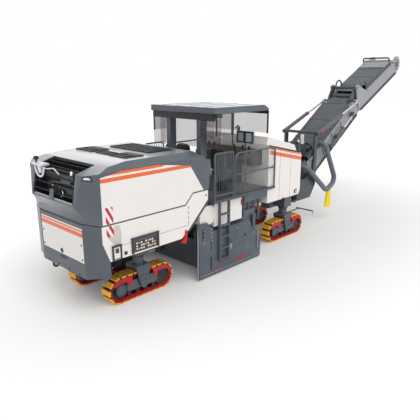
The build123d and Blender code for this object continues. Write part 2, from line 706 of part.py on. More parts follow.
def hood_grille():
    """Slats that follow the hood's rear slope and turn onto its roof, between two end plates."""
    low, bend, high = GRILLE_LINE
    ribs = [(low[0] + 20, low[1] + 30), (bend[0] + 15, bend[1] - 10), (high[0], high[1] - 15),
            (high[0], high[1] - 15 - SLAT_DEPTH), (bend[0] + 15 + SLAT_DEPTH, bend[1] - 10 - SLAT_DEPTH),
            (low[0] + 20 + SLAT_DEPTH, low[1] + 30)]
    grille = both_sides(side_prism(ribs, GRILLE_HALF - GRILLE_FRAME, GRILLE_HALF))
    rise = hypot(bend[0] - low[0], bend[1] - low[1])
    run = hypot(high[0] - bend[0], high[1] - bend[1])
    for k in range(SLAT_COUNT):
        at = (k + 1) * (rise + run) / (SLAT_COUNT + 1)
        first, second, part = (low, bend, at / rise) if at < rise else (bend, high, (at - rise) / run)
        x = first[0] + part * (second[0] - first[0])
        z = first[1] + part * (second[1] - first[1])
        slope = degrees(atan2(second[1] - first[1], second[0] - first[0]))
        slat = Box(SLAT_THICK, 2 * GRILLE_HALF - GRILLE_FRAME, SLAT_DEPTH)
        grille += Pos(x, 0, z) * Rot(0, -slope, 0) * Pos(0, 0, -SLAT_DEPTH / 2 - 20) * slat
    return grille


def roof_grilles():
    """Louvred grilles on the hood's roof."""
    grilles = None
    for x0, x1, y0, y1 in ROOF_GRILLES:
        frame = block(x0, x1, y0, y1, HOOD_TOP, HOOD_TOP + ROOF_GRILLE_HEIGHT)
        frame -= block(x0 + 30, x1 - 30, y0 + 30, y1 - 30, HOOD_TOP + 8, HOOD_TOP + ROOF_GRILLE_HEIGHT)
        count = int((x1 - x0 - 60) // ROOF_SLAT_PITCH)
        for k in range(count):
            x = x0 + 30 + (k + 0.5) * (x1 - x0 - 60) / count
            frame += block(x - 8, x + 8, y0 + 30, y1 - 30, HOOD_TOP + 8, HOOD_TOP + ROOF_GRILLE_HEIGHT - 4)
        grilles = frame if grilles is None else grilles + frame
    return grilles


def engine_block():
    """Engine as one plain block on the side members."""
    return block(ENGINE_REAR, ENGINE_FRONT, -ENGINE_HALF, ENGINE_HALF, BEAM_TOP, ENGINE_TOP)


def cooler():
    """Cooler pack behind the rear grille."""
    return block(COOLER_REAR, COOLER_REAR + COOLER_THICK, -COOLER_HALF, COOLER_HALF, BEAM_TOP, COOLER_TOP)


HOUSING_OUT = DRUM_HALF + RUN_GAP + HOUSING_WALL
HOUSING_IN = DRUM_HALF + RUN_GAP
PLATE_INNER = PLATE_OUTER - PLATE_THICK


def drum_housing():
    """Box over the drum: end walls with bearings and lift barrels, roof, front wall with the loader's mouth."""
    outline = [(HOUSING_REAR, PLATE_BARREL_FOOT), (HOUSING_REAR, BEAM_BOTTOM), (HOUSING_FRONT, BEAM_BOTTOM),
               (HOUSING_FRONT, PLATE_BARREL_FOOT), (DRUM_BOX_FRONT, HOUSING_SKIRT), (DRUM_BOX_REAR, HOUSING_SKIRT)]
    wall = side_prism(outline, HOUSING_IN, HOUSING_OUT)
    wall -= rod_y(DRUM_X, DRUM_Z, DRUM_SHAFT + FIT, HOUSING_IN, HOUSING_OUT)
    for x in PLATE_ROD_XS:
        wall += rod_z(x, PLATE_ROD_Y, PLATE_BARREL, PLATE_BARREL_FOOT, BEAM_BOTTOM)
        wall -= rod_z(x, PLATE_ROD_Y, PLATE_ROD + FIT, PLATE_BARREL_FOOT, BEAM_BOTTOM - RUN_GAP)
    housing = both_sides(wall)
    roof_z = BEAM_BOTTOM - HOUSING_WALL
    roof_rear = SCRAPER_ROD_X - SCRAPER_BARREL
    housing += block(roof_rear, DRUM_BOX_FRONT, -HOUSING_IN, HOUSING_IN, roof_z, BEAM_BOTTOM)
    front = block(DRUM_BOX_FRONT - HOUSING_WALL, DRUM_BOX_FRONT, -HOUSING_IN, HOUSING_IN, PLATE_BARREL_FOOT, roof_z)
    front -= block(DRUM_BOX_FRONT - HOUSING_WALL, DRUM_BOX_FRONT, -MOUTH_HALF, MOUTH_HALF, PLATE_BARREL_FOOT,
                   roof_z - HOUSING_WALL)
    housing += front
    for y in (-SCRAPER_ROD_Y, SCRAPER_ROD_Y):
        housing += rod_z(SCRAPER_ROD_X, y, SCRAPER_BARREL, SCRAPER_BARREL_FOOT, roof_z)
        housing -= rod_z(SCRAPER_ROD_X, y, SCRAPER_ROD + FIT, SCRAPER_BARREL_FOOT, roof_z)
    return housing


def milling_drum():
    """Drum with rows of cutting tools set in a spiral, on stub shafts."""
    drum = rod_y(0, 0, DRUM_CORE, -DRUM_HALF, DRUM_HALF)
    for k in range(TOOL_ROWS):
        y = -DRUM_HALF + (k + 0.5) * 2 * DRUM_HALF / TOOL_ROWS
        for tool in range(TOOLS_PER_ROW):
            turn = abs(k - (TOOL_ROWS - 1) / 2) * TOOL_TWIST + tool * 360 / TOOLS_PER_ROW
            holder = Pos(DRUM_RADIUS - TOOL_HEIGHT / 2, y, 0) * Box(TOOL_HEIGHT, TOOL_WIDTH, TOOL_LENGTH)
            drum += Rot(0, turn, 0) * holder
    drum = drum & rod_y(0, 0, DRUM_RADIUS, -DRUM_HALF, DRUM_HALF)
    drum += rod_y(0, 0, DRUM_SHAFT, -HOUSING_OUT, HOUSING_OUT)
    return Pos(DRUM_X, 0, DRUM_Z) * drum


def scraper():
    """Blade behind the drum that slides up on two rods."""
    half = HOUSING_IN - RUN_GAP
    blade = block(SCRAPER_X, SCRAPER_X + SCRAPER_THICK, -half, half, SCRAPER_BOTTOM, SCRAPER_TOP)
    for y in (-SCRAPER_ROD_Y, SCRAPER_ROD_Y):
        blade += rod_z(SCRAPER_ROD_X, y, SCRAPER_ROD, SCRAPER_LUG_Z, SCRAPER_ROD_TOP)
        blade += block(SCRAPER_ROD_X - 30, SCRAPER_X, y - 30, y + 30, SCRAPER_LUG_Z - 20, SCRAPER_LUG_Z + 20)
    return blade


def side_plate(side):
    """Plate that closes the drum's end and rides over the ground on two lift rods."""
    outline = [(PLATE_REAR + 60, PLATE_BOTTOM), (PLATE_FRONT - 20, PLATE_BOTTOM), (PLATE_FRONT, PLATE_NOSE_Z),
               (PLATE_SHOULDER_X, PLATE_SHOULDER_Z), (PLATE_TOP_X, PLATE_TOP), (PLATE_POST_FOOT_X, PLATE_TOP),
               (PLATE_POST_TOP_X, PLATE_POST_TOP), (PLATE_REAR, PLATE_POST_TOP)]
    plate = side_prism(outline, PLATE_INNER, PLATE_OUTER)
    for x in PLATE_ROD_XS:
        plate += rod_z(x, PLATE_ROD_Y, PLATE_ROD, PLATE_LUG_Z, PLATE_ROD_TOP)
        plate += block(x - 30, x + 30, PLATE_ROD_Y - PLATE_ROD, PLATE_INNER, PLATE_LUG_Z - 20, PLATE_LUG_Z + 20)
    return plate if side > 0 else mirror(plate, about=Plane.XZ)


LOADER_ANGLE = degrees(atan2(LOADER_END_Z - LOADER_Z, LOADER_END_X - LOADER_X))
LOADER_LENGTH = hypot(LOADER_END_Z - LOADER_Z, LOADER_END_X - LOADER_X)
LOADER_TAIL = LOADER_PULLEY + BELT_THICK + RUN_GAP
LOADER_HEAD = LOADER_LENGTH - LOADER_TAIL


def loading_conveyor():
    """Trough that carries the cuttings from the drum to the front, with its end pulleys."""
    depth = LOADER_DEPTH / 2
    outline = along(LOADER_X, LOADER_Z, LOADER_ANGLE,
                    [(0, -depth), (LOADER_LENGTH, -depth), (LOADER_LENGTH, depth), (0, depth)])
    frame = side_prism(outline, LOADER_HALF - LOADER_PLATE, LOADER_HALF)
    lug_x = LOADER_X + (LOADER_LUG_LINE - LOADER_Z) * (LOADER_END_X - LOADER_X) / (LOADER_END_Z - LOADER_Z)
    frame += block(lug_x - LOADER_LUG_HALF, lug_x + LOADER_LUG_HALF, LOADER_HALF - LOADER_PLATE, BEAM_INNER,
                   *LOADER_LUG_ZS)
    frame = both_sides(frame)
    inner = LOADER_HALF - LOADER_PLATE
    for s in (LOADER_TAIL, LOADER_HEAD):
        x, z = along(LOADER_X, LOADER_Z, LOADER_ANGLE, [(s, 0)])[0]
        frame += rod_y(x, z, LOADER_PULLEY - FIT, -inner, inner)
    return frame


def loading_belt():
    """Endless belt of the loading conveyor."""
    return belt_loop(LOADER_X, LOADER_Z, LOADER_ANGLE, LOADER_TAIL, LOADER_HEAD, 0, LOADER_PULLEY,
                     LOADER_BELT_HALF)


def front_tank():
    """Water tank over the front legs, with a raised lid and a tunnel for the loading conveyor."""
    outline = [(TANK_REAR, BEAM_TOP), (TANK_FRONT - 70, BEAM_TOP), (TANK_FRONT, BEAM_TOP + 100),
               (TANK_FRONT, TANK_TOP_FRONT - 80), (TANK_FRONT - TANK_NOSE, TANK_TOP_FRONT),
               (TANK_REAR, TANK_TOP_REAR)]
    tank = side_prism(outline, -TANK_HALF, TANK_HALF)
    lid_half = TANK_HALF - TANK_LID_INSET
    lid = [(TANK_REAR, TANK_TOP_REAR), (TANK_FRONT - TANK_NOSE, TANK_TOP_FRONT),
           (TANK_FRONT - 2 * TANK_NOSE, TANK_TOP_FRONT + TANK_LID_RISE),
           (TANK_REAR + TANK_LID_INSET, TANK_TOP_REAR + TANK_LID_RISE)]
    tank += side_prism(lid, -lid_half, lid_half)
    top = LOADER_DEPTH / 2 + TUNNEL_GAP
    reach = LOADER_LENGTH
    line = along(LOADER_X, LOADER_Z, LOADER_ANGLE, [(0, top), (reach, top)])
    tunnel = [line[0], (line[0][0], BEAM_TOP - 200), (line[1][0], BEAM_TOP - 200), line[1]]
    return tank - side_prism(tunnel, -MOUTH_HALF, MOUTH_HALF)


def side_tanks():
    """White tanks under the platform, with a rounded rear part."""
    under = FLOOR_Z - FLOOR_THICK
    rear = block(SIDE_TANK_REAR, SIDE_TANK_STEP, SIDE_TANK_IN, SIDE_TANK_OUT, SIDE_TANK_BOTTOM + 100, under - 50)
    rear = fillet(rear.edges().filter_by(Axis.Y), 120)
    front = block(SIDE_TANK_STEP, SIDE_TANK_FRONT, SIDE_TANK_IN, SIDE_TANK_OUT, SIDE_TANK_BOTTOM, under)
    return both_sides(rear + front)


def front_lamps():
    """Lamp posts at the front corners of the tank."""
    post = rod_z(LAMP_POST_X, LAMP_POST_Y, LAMP_POST_RADIUS, LAMP_POST_FOOT, LAMP_POST_TOP)
    post += block(TANK_FRONT, LAMP_POST_X, LAMP_POST_Y - 30, LAMP_POST_Y + 30, LAMP_POST_FOOT, LAMP_POST_FOOT + 60)
    half = LAMP_SIZE / 2
    post += block(LAMP_POST_X - half, LAMP_POST_X + half, LAMP_POST_Y - half, LAMP_POST_Y + half,
                  LAMP_POST_TOP - LAMP_SIZE, LAMP_POST_TOP)
    return both_sides(post)


def platform():
    """Operator's floor on pedestals, with ledges beside the tank, the rear bulkhead and the hood's hinge ears."""
    deck = block(PLATFORM_REAR, TANK_REAR, -PLATFORM_HALF, PLATFORM_HALF, FLOOR_Z - FLOOR_THICK, FLOOR_Z)
    for x in PEDESTAL_XS:
        deck += block(x, x + PEDESTAL_LENGTH, -PEDESTAL_HALF, PEDESTAL_HALF, BEAM_TOP, FLOOR_Z - FLOOR_THICK)
    deck += block(PLATFORM_REAR, PLATFORM_REAR + BULKHEAD_THICK, -BULKHEAD_HALF, BULKHEAD_HALF,
                  FLOOR_Z, BULKHEAD_TOP)
    ledge_front = RAIL_FRONT + RAIL_RADIUS + RUN_GAP
    deck += both_sides(block(TANK_REAR, ledge_front, TANK_HALF + RUN_GAP, PLATFORM_HALF,
                             FLOOR_Z - FLOOR_THICK, FLOOR_Z))
    y0 = HINGE_LUG_IN + HINGE_LUG_WIDTH
    y1 = y0 + HINGE_LUG_WIDTH
    ear = block(HINGE_X, PLATFORM_REAR, y0, y1, HINGE_Z - 25, HINGE_Z + 25)
    ear += rod_y(HINGE_X, HINGE_Z, 2 * HINGE_PIN, y0, y1)
    ear -= rod_y(HINGE_X, HINGE_Z, HINGE_PIN + FIT, y0, y1)
    return deck + both_sides(ear)


def bent_rail(points, bend):
    """Bent tube at the platform's edge."""
    path = FilletPolyline(*[(x, RAIL_Y, z) for x, z in points], radius=bend)
    return sweep(Plane(path @ 0, z_dir=path % 0) * Circle(RAIL_RADIUS), path=path)


def railings():
    """Hand rails on both edges of the platform, with the barred gate above each ladder."""
    rails = bent_rail([(RAIL_REAR, FLOOR_Z), (RAIL_REAR, RAIL_TOP), (RAIL_FRONT, RAIL_TOP), (RAIL_FRONT, FLOOR_Z)],
                      RAIL_BEND)
    rails += rod_x(RAIL_Y, (FLOOR_Z + RAIL_TOP) / 2, RAIL_RADIUS, RAIL_REAR, RAIL_FRONT)
    gate = bent_rail([(GATE_REAR, FLOOR_Z), (GATE_REAR, GATE_TOP), (GATE_FRONT, GATE_TOP), (GATE_FRONT, FLOOR_Z)],
                     RAIL_BEND / 2)
    foot = FLOOR_Z + 110
    gate += rod_x(RAIL_Y, foot, RAIL_RADIUS, GATE_REAR, GATE_FRONT)
    for k in range(GATE_BARS):
        x = GATE_REAR + (k + 1) * (GATE_FRONT - GATE_REAR) / (GATE_BARS + 1)
        gate += rod_z(x, RAIL_Y, GATE_BAR_RADIUS, foot, GATE_TOP)
    return both_sides(rails + gate)


def ladders():
    """Ladders hung under the platform's edge."""
    y0, top = PLATFORM_HALF - LADDER_SET, FLOOR_Z - FLOOR_THICK
    y1 = y0 + LADDER_DEPTH
    ladder = None
    for x in (LADDER_REAR, LADDER_FRONT - STRINGER):
        stringer = block(x, x + STRINGER, y0, y1, LADDER_FOOT, top)
        ladder = stringer if ladder is None else ladder + stringer
    for k in range(RUNG_COUNT):
        z = LADDER_FOOT + RUNG_HEIGHT + k * (top - LADDER_FOOT - 2 * RUNG_HEIGHT) / RUNG_COUNT
        ladder += block(LADDER_REAR, LADDER_FRONT, y0, y1, z, z + RUNG_HEIGHT)
    return both_sides(ladder)


def seats():
    """Two operator's seats on pedestals."""
    half = SEAT_WIDTH / 2
    y0, y1 = SEAT_Y - half, SEAT_Y + half
    seat_z = FLOOR_Z + SEAT_HEIGHT
    seat = block(SEAT_X + 130, SEAT_X + 330, SEAT_Y - 100, SEAT_Y + 100, FLOOR_Z, seat_z - SEAT_PAD)
    seat += block(SEAT_X, SEAT_X + SEAT_LENGTH, y0, y1, seat_z - SEAT_PAD, seat_z)
    seat += block(SEAT_X, SEAT_X + SEAT_PAD, y0, y1, seat_z, seat_z + SEAT_BACK)
    return both_sides(seat)


def console():
    """Control desk across the front of the platform, on a foot."""
    outline = [(CONSOLE_REAR + 120, CONSOLE_UNDER), (TANK_REAR, CONSOLE_UNDER), (TANK_REAR, CONSOLE_TOP),
               (TANK_REAR - 120, CONSOLE_TOP), (CONSOLE_REAR, CONSOLE_LIP), (CONSOLE_REAR, CONSOLE_LIP - 120)]
    desk = side_prism(outline, -CONSOLE_HALF, CONSOLE_HALF)
    return desk + block(CONSOLE_REAR + 120, TANK_REAR, -CONSOLE_FOOT_HALF, CONSOLE_FOOT_HALF, FLOOR_Z, CONSOLE_UNDER)


def displays():
    """Two framed displays on a post at the right of the platform."""
    post = rod_z(DISPLAY_X, -DISPLAY_Y, RAIL_RADIUS, FLOOR_Z, DISPLAY_Z)
    y0, y1 = -DISPLAY_Y - DISPLAY_WIDTH, -DISPLAY_Y + DISPLAY_WIDTH
    half = DISPLAY_DEPTH / 2
    return post + block(DISPLAY_X - half, DISPLAY_X + half, y0, y1, DISPLAY_Z, DISPLAY_Z + DISPLAY_HEIGHT)


ROOF_UNDER = ROOF_TOP - ROOF_FASCIA


def canopy_roof():
    """Roof panel, hollow from below, with its front edge rounded down."""
    outline = [(ROOF_REAR, ROOF_UNDER), (ROOF_FRONT, ROOF_UNDER), (ROOF_FRONT, ROOF_TOP - ROOF_NOSE),
               (ROOF_FRONT - 2 * ROOF_NOSE, ROOF_TOP), (ROOF_REAR, ROOF_TOP)]
    roof = side_prism(outline, -ROOF_HALF, ROOF_HALF)
    inner = ROOF_HALF - ROOF_WALL
    roof_in = ROOF_TOP - ROOF_NOSE - ROOF_WALL / 2
    return roof - block(ROOF_REAR + ROOF_WALL, ROOF_FRONT - ROOF_WALL, -inner, inner, ROOF_UNDER, roof_in)


def canopy_posts():
    """Two rear posts with the beam that carries the roof."""
    y0, y1 = POST_Y - POST_WIDTH / 2, POST_Y + POST_WIDTH / 2
    post = block(POST_X, POST_X + POST_LENGTH, y0, y1, FLOOR_Z, ROOF_TOP - ROOF_NOSE - ROOF_WALL / 2)
    beam_half = ROOF_HALF - ROOF_WALL
    beam = block(POST_X, POST_X + POST_LENGTH, -beam_half, beam_half, ROOF_UNDER - 60, ROOF_UNDER)
    return both_sides(post) + beam


def canopy_glass():
    """Rear pane on the posts, side and front panes hung from the roof's rim."""
    under, rear_x, inner = ROOF_UNDER, POST_X + POST_LENGTH, ROOF_HALF - ROOF_WALL
    panes = block(rear_x, rear_x + PANE_THICK, -inner, inner, REAR_PANE_BOTTOM, under)
    side_y = ROOF_HALF - ROOF_WALL / 2
    side = block(ROOF_REAR + 2 * ROOF_WALL, SIDE_PANE_FRONT, side_y, side_y + PANE_THICK, SIDE_PANE_BOTTOM, under)
    screen_x = ROOF_FRONT - ROOF_WALL / 2
    screen = block(screen_x - PANE_THICK, screen_x, -inner, inner, SCREEN_BOTTOM, under)
    return panes + both_sides(side) + screen


def control_boxes():
    """Ground control panels on the lower side panels."""
    outer = BODY_HALF + CONTROL_DEPTH
    boxes = block(CONTROL_REAR, CONTROL_FRONT, BODY_HALF, outer, CONTROL_BOTTOM, CONTROL_TOP)
    boxes += block(SMALL_BOX_REAR, SMALL_BOX_FRONT, BODY_HALF, outer, CONTROL_BOTTOM, SMALL_BOX_TOP)
    return both_sides(boxes)


CHEEK_OUT = CHEEK_IN + CHEEK_THICK
SLEW_BASE = ARM_TOP + SLEW_GAP


def slew_frame():
    """Turning base on the front arm, with two cheeks that rise to the mast and carry the boom."""
    outline = [(SLEW_X, SLEW_BASE), (SLEW_BASE_FRONT, SLEW_BASE), (MAST_FRONT, CHEEK_FRONT_Z),
               (MAST_FRONT, MAST_TOP), (MAST_REAR, MAST_TOP), (MAST_REAR, CHEEK_BACK_Z),
               (LIFT_X + 3 * LIFT_PIN, LIFT_Z + 2 * LIFT_PIN), (LIFT_X - 2.4 * LIFT_PIN, LIFT_Z + 2 * LIFT_PIN),
               (SLEW_X, LIFT_Z - 2 * LIFT_PIN)]
    cheek = side_prism(outline, CHEEK_IN, CHEEK_OUT)
    cheek -= rod_y(LIFT_X, LIFT_Z, LIFT_PIN + FIT, CHEEK_IN, CHEEK_OUT)
    cheek += rod_y(MAST_PIN_X, MAST_PIN_Z, MAST_PIN, CHEEK_OUT, CYLINDER_Y + CYLINDER_EYE_WIDTH / 2)
    frame = both_sides(cheek)
    frame += block(SLEW_BASE_REAR, SLEW_BASE_FRONT, -CHEEK_OUT, CHEEK_OUT,
                   SLEW_BASE, SLEW_BASE + SLEW_BASE_THICK)
    frame += block(MAST_REAR, MAST_REAR + MAST_BAR, -CHEEK_OUT, CHEEK_OUT, MAST_TOP - MAST_BAR, MAST_TOP)
    return frame + rod_z(SLEW_X, 0, SLEW_PIN, SLEW_BASE - SLEW_PIN_DEPTH, SLEW_BASE)


BOOM_IN = BOOM_HALF - BOOM_PLATE


def lower_point(s, n):
    """Side-view point on the lower boom."""
    return along(LOWER_X, LOWER_Z, LOWER_ANGLE, [(s, n)])[0]


UPPER_X, UPPER_Z = lower_point(LOWER_LENGTH + FOLD_GAP, 0)
FOLD_X, FOLD_Z = lower_point(LOWER_LENGTH + FOLD_AHEAD, LOWER_DEPTH + FOLD_RISE)
ROD_EYE_X, ROD_EYE_Z = lower_point(LOWER_LENGTH - ROD_EYE_BACK, LOWER_DEPTH - ROD_EYE_DROP)


def upper_point(s, n):
    """Side-view point on the upper boom."""
    return along(UPPER_X, UPPER_Z, UPPER_ANGLE, [(s, n)])[0]


def boom_lower_frame():
    """Side plates with the hopper boards, pulleys, lift pins, cylinder stubs and the fold's ears and cross bar."""
    hopper_end, rise = HOPPER_START + HOPPER_LENGTH, LOWER_DEPTH + HOPPER_RISE
    points = [(0, 0), (LOWER_LENGTH, 0), (LOWER_LENGTH, LOWER_DEPTH), (hopper_end, LOWER_DEPTH),
              (hopper_end, rise), (HOPPER_START, rise), (0, LOWER_DEPTH)]
    outline = [lower_point(*p) for p in points]
    side = side_prism(outline, BOOM_IN, BOOM_HALF)
    side += rod_y(LIFT_X, LIFT_Z, LIFT_PIN, BOOM_HALF, CHEEK_OUT)
    stub_end = CYLINDER_Y - CYLINDER_EYE_WIDTH / 2 - 7
    side += rod_y(ROD_EYE_X, ROD_EYE_Z, EYE_STUB, BOOM_IN, stub_end)
    ear_out = EAR_IN + EAR_THICK
    top, rear = (FOLD_X - 20, FOLD_Z + FOLD_BOSS), (FOLD_X - 90, FOLD_Z + FOLD_BOSS / 2)
    ear_start, ear_end, ear_foot = LOWER_LENGTH - EAR_END - EAR_LENGTH, LOWER_LENGTH - EAR_END, LOWER_DEPTH - EAR_DEPTH
    foot = [lower_point(ear_start, ear_foot), lower_point(ear_end, ear_foot), lower_point(ear_end, LOWER_DEPTH)]
    ear = foot + [(FOLD_X + FOLD_BOSS, FOLD_Z), top, rear, lower_point(ear_start, LOWER_DEPTH)]
    side += side_prism(ear, EAR_IN, ear_out)
    doubler = foot + [lower_point(ear_start, LOWER_DEPTH)]
    side += side_prism(doubler, EAR_IN, BOOM_IN)
    frame = both_sides(side)
    frame += rod_y(FOLD_X, FOLD_Z, FOLD_PIN, -BOOM_HALF, BOOM_HALF)
    for s in (PULLEY_INSET, LOWER_LENGTH - PULLEY_INSET):
        x, z = lower_point(s, LOWER_BELT_N)
        frame += rod_y(x, z, LOWER_PULLEY - FIT, -BOOM_IN, BOOM_IN)
    for k in range(TUBE_COUNT):
        s = LOWER_TUBE_START + k * (LOWER_LENGTH - LOWER_TUBE_START - LOWER_TUBE_GAP) / (TUBE_COUNT - 1)
        x, z = lower_point(s, CROSS_TUBE + RUN_GAP)
        frame += rod_y(x, z, CROSS_TUBE, -BOOM_IN, BOOM_IN)
    return frame


def boom_cover(x, z, angle, start, end, depth, half):
    """Raised lid over the belt, open below."""
    points = [(start, depth), (end, depth), (end, depth + COVER_HEIGHT), (start, depth + COVER_HEIGHT)]
    lid = side_prism(along(x, z, angle, points), -half, half)
    hollow = [(start - 1, depth), (end + 1, depth), (end + 1, depth + COVER_HEIGHT - COVER_WALL),
              (start - 1, depth + COVER_HEIGHT - COVER_WALL)]
    return lid - side_prism(along(x, z, angle, hollow), COVER_WALL - half, half - COVER_WALL)


APRON_HALF = EAR_IN - RUN_GAP


def boom_lower_cover():
    """Cover of the lower boom, with a narrow apron between the fold's ears."""
    place, end = (LOWER_X, LOWER_Z, LOWER_ANGLE), LOWER_LENGTH - LOWER_COVER_GAP
    cover = boom_cover(*place, LOWER_COVER_START, end, LOWER_DEPTH, BOOM_HALF)
    return cover + boom_cover(*place, end, end + LOWER_APRON, LOWER_DEPTH, APRON_HALF)


def boom_lower_belt():
    """Endless belt in the lower boom."""
    return belt_loop(LOWER_X, LOWER_Z, LOWER_ANGLE, PULLEY_INSET, LOWER_LENGTH - PULLEY_INSET, LOWER_BELT_N,
                     LOWER_PULLEY, BELT_HALF)


HEAD_S = UPPER_LENGTH - HEAD_RADIUS


def boom_upper_frame():
    """Side plates with gussets up to the fold pin, and the belt's pulleys."""
    c, s = cos(radians(UPPER_ANGLE)), sin(radians(UPPER_ANGLE))
    fold_s = (FOLD_X - UPPER_X) * c + (FOLD_Z - UPPER_Z) * s
    fold_n = (FOLD_Z - UPPER_Z) * c - (FOLD_X - UPPER_X) * s
    outline = [(0, 0), (HEAD_S, 0), (HEAD_S, 2 * HEAD_RADIUS), (HEAD_S - HEAD_RAMP, UPPER_DEPTH),
               (fold_s + GUSSET_LENGTH, UPPER_DEPTH), (fold_s + FOLD_BOSS, fold_n + FOLD_BOSS),
               (fold_s - FOLD_BOSS, fold_n + FOLD_BOSS), (fold_s - FOLD_BOSS, fold_n - FOLD_BOSS), (0, UPPER_DEPTH)]
    side = side_prism([upper_point(*p) for p in outline], BOOM_IN, BOOM_HALF)
    side += rod_y(*upper_point(HEAD_S, HEAD_RADIUS), HEAD_RADIUS, BOOM_IN, BOOM_HALF)
    side -= rod_y(FOLD_X, FOLD_Z, FOLD_PIN + FIT, BOOM_IN, BOOM_HALF)
    frame = both_sides(side)
    for at in (PULLEY_INSET, HEAD_S):
        x, z = upper_point(at, UPPER_BELT_N)
        frame += rod_y(x, z, UPPER_PULLEY - FIT, -BOOM_IN, BOOM_IN)
    for k in range(TUBE_COUNT):
        at = UPPER_TUBE_START + k * (UPPER_LENGTH - UPPER_TUBE_START - UPPER_TUBE_GAP) / (TUBE_COUNT - 1)
        x, z = upper_point(at, CROSS_TUBE + RUN_GAP)
        frame += rod_y(x, z, CROSS_TUBE, -BOOM_IN, BOOM_IN)
    return frame


def boom_upper_cover():
    """Cover of the upper boom, with a narrow apron between the fold's ears."""
    place, start = (UPPER_X, UPPER_Z, UPPER_ANGLE), UPPER_COVER_START
    cover = boom_cover(*place, start, UPPER_LENGTH - UPPER_COVER_GAP, UPPER_DEPTH, BOOM_HALF)
    return cover + boom_cover(*place, start - UPPER_APRON, start, UPPER_DEPTH, APRON_HALF)


def boom_upper_belt():
    """Endless belt in the upper boom, round the head pulley."""
    return belt_loop(UPPER_X, UPPER_Z, UPPER_ANGLE, PULLEY_INSET, HEAD_S, UPPER_BELT_N, UPPER_PULLEY, BELT_HALF)


CYLINDER_ANGLE = degrees(atan2(ROD_EYE_Z - MAST_PIN_Z, ROD_EYE_X - MAST_PIN_X))
CYLINDER_LENGTH = hypot(ROD_EYE_Z - MAST_PIN_Z, ROD_EYE_X - MAST_PIN_X)


def on_cylinder(part):
    """A piece drawn along +X from the mast pin, set at the left cylinder and its mirror image."""
    return both_sides(Pos(MAST_PIN_X, CYLINDER_Y, MAST_PIN_Z) * Rot(0, -CYLINDER_ANGLE, 0) * part)


def lift_barrels():
    """Barrels of the two lift cylinders, pinned to the mast."""
    half = CYLINDER_EYE_WIDTH / 2
    barrel = rod_y(0, 0, CYLINDER_EYE, -half, half) + rod_x(0, 0, BARREL_RADIUS, 0, BARREL_LENGTH)
    barrel -= rod_y(0, 0, MAST_PIN + FIT, -BARREL_RADIUS, BARREL_RADIUS)
    return on_cylinder(barrel - rod_x(0, 0, ROD_RADIUS + FIT, BARREL_FLOOR, BARREL_LENGTH))


def lift_rods():
    """Rods of the two lift cylinders, with their eyes beside the boom's stubs."""
    half = CYLINDER_EYE_WIDTH / 2
    rod = rod_x(0, 0, ROD_RADIUS, ROD_START, CYLINDER_LENGTH)
    rod += rod_y(CYLINDER_LENGTH, 0, CYLINDER_EYE, -half, half)
    return on_cylinder(rod - rod_y(CYLINDER_LENGTH, 0, EYE_STUB, -half, half))


def suction_duct():
    """Duct from the hopper down and up again to the boom's cover, on the right side."""
    first, last = DUCT_ROUTE[0], DUCT_ROUTE[-1]
    points = [(SLEW_X + first[0], -BOOM_HALF, first[1])]
    points += [(SLEW_X + x, -DUCT_Y, z) for x, z in DUCT_ROUTE]
    points += [(SLEW_X + last[0], -BOOM_HALF, last[1])]
    end_bend = DUCT_Y - BOOM_HALF - DUCT_RADIUS
    path = FilletPolyline(*points, radius=[end_bend, DUCT_BEND, DUCT_BEND, end_bend])
    return sweep(Plane(path @ 0, z_dir=path % 0) * Circle(DUCT_RADIUS), path=path)


def duct_sleeve():
    """Soft sleeve that hangs from the duct's lowest bend."""
    outline = [(SLEEVE_X - SLEEVE_HALF_TOP, SLEEVE_HEAD), (SLEEVE_X + SLEEVE_HALF_TOP, SLEEVE_HEAD),
               (SLEEVE_X + SLEEVE_HALF_FOOT, SLEEVE_FOOT), (SLEEVE_X - SLEEVE_HALF_FOOT, SLEEVE_FOOT)]
    sleeve = side_prism(outline, -DUCT_Y - SLEEVE_HALF_DEPTH, -DUCT_Y + SLEEVE_HALF_DEPTH)
    return sleeve - suction_duct()


def all_nodes():
    """Every piece of the machine by its name."""
    nodes = {
        "main_frame": main_frame(),
        "lower_side_panels": lower_side_panels(),
        "tail": tail(),
        "tail_panel": tail_panel(),
        "engine_block": engine_block(),
        "cooler": cooler(),
        "hood_shell": hood_shell(),
        "hood_side_panels": hood_side_panels(),
        "hood_grille": hood_grille(),
        "roof_grilles": roof_grilles(),
        "drum_housing": drum_housing(),
        "milling_drum": milling_drum(),
        "scraper": scraper(),
        "side_plate_right": side_plate(-1),
        "side_plate_left": side_plate(1),
        "loading_conveyor": loading_conveyor(),
        "loading_belt": loading_belt(),
        "front_tank": front_tank(),
        "side_tanks": side_tanks(),
        "front_lamps": front_lamps(),
        "platform": platform(),
        "railings": railings(),
        "ladders": ladders(),
        "seats": seats(),
        "console": console(),
        "displays": displays(),
        "canopy_roof": canopy_roof(),
        "canopy_posts": canopy_posts(),
        "canopy_glass": canopy_glass(),
        "control_boxes": control_boxes(),
        "slew_frame": slew_frame(),
        "boom_lower_frame": boom_lower_frame(),
        "boom_lower_cover": boom_lower_cover(),
        "boom_lower_belt": boom_lower_belt(),
        "boom_upper_frame": boom_upper_frame(),
        "boom_upper_cover": boom_upper_cover(),
        "boom_upper_belt": boom_upper_belt(),
        "lift_barrels": lift_barrels(),
        "lift_rods": lift_rods(),
        "suction_duct": suction_duct(),
        "duct_sleeve": duct_sleeve(),
        "steering_pointer": steering_pointer(),
    }
    loop, fork = track_loop(), track_fork()
    for name, (x, side) in TRACKS.items():
        seat = Pos(x, side * TRACK_Y, 0)
        nodes[f"{name}_loop"] = seat * loop
        nodes[f"{name}_fork"] = seat * fork
        nodes[f"{name}_track_frame"] = seat * track_frame(side)
    return nodes


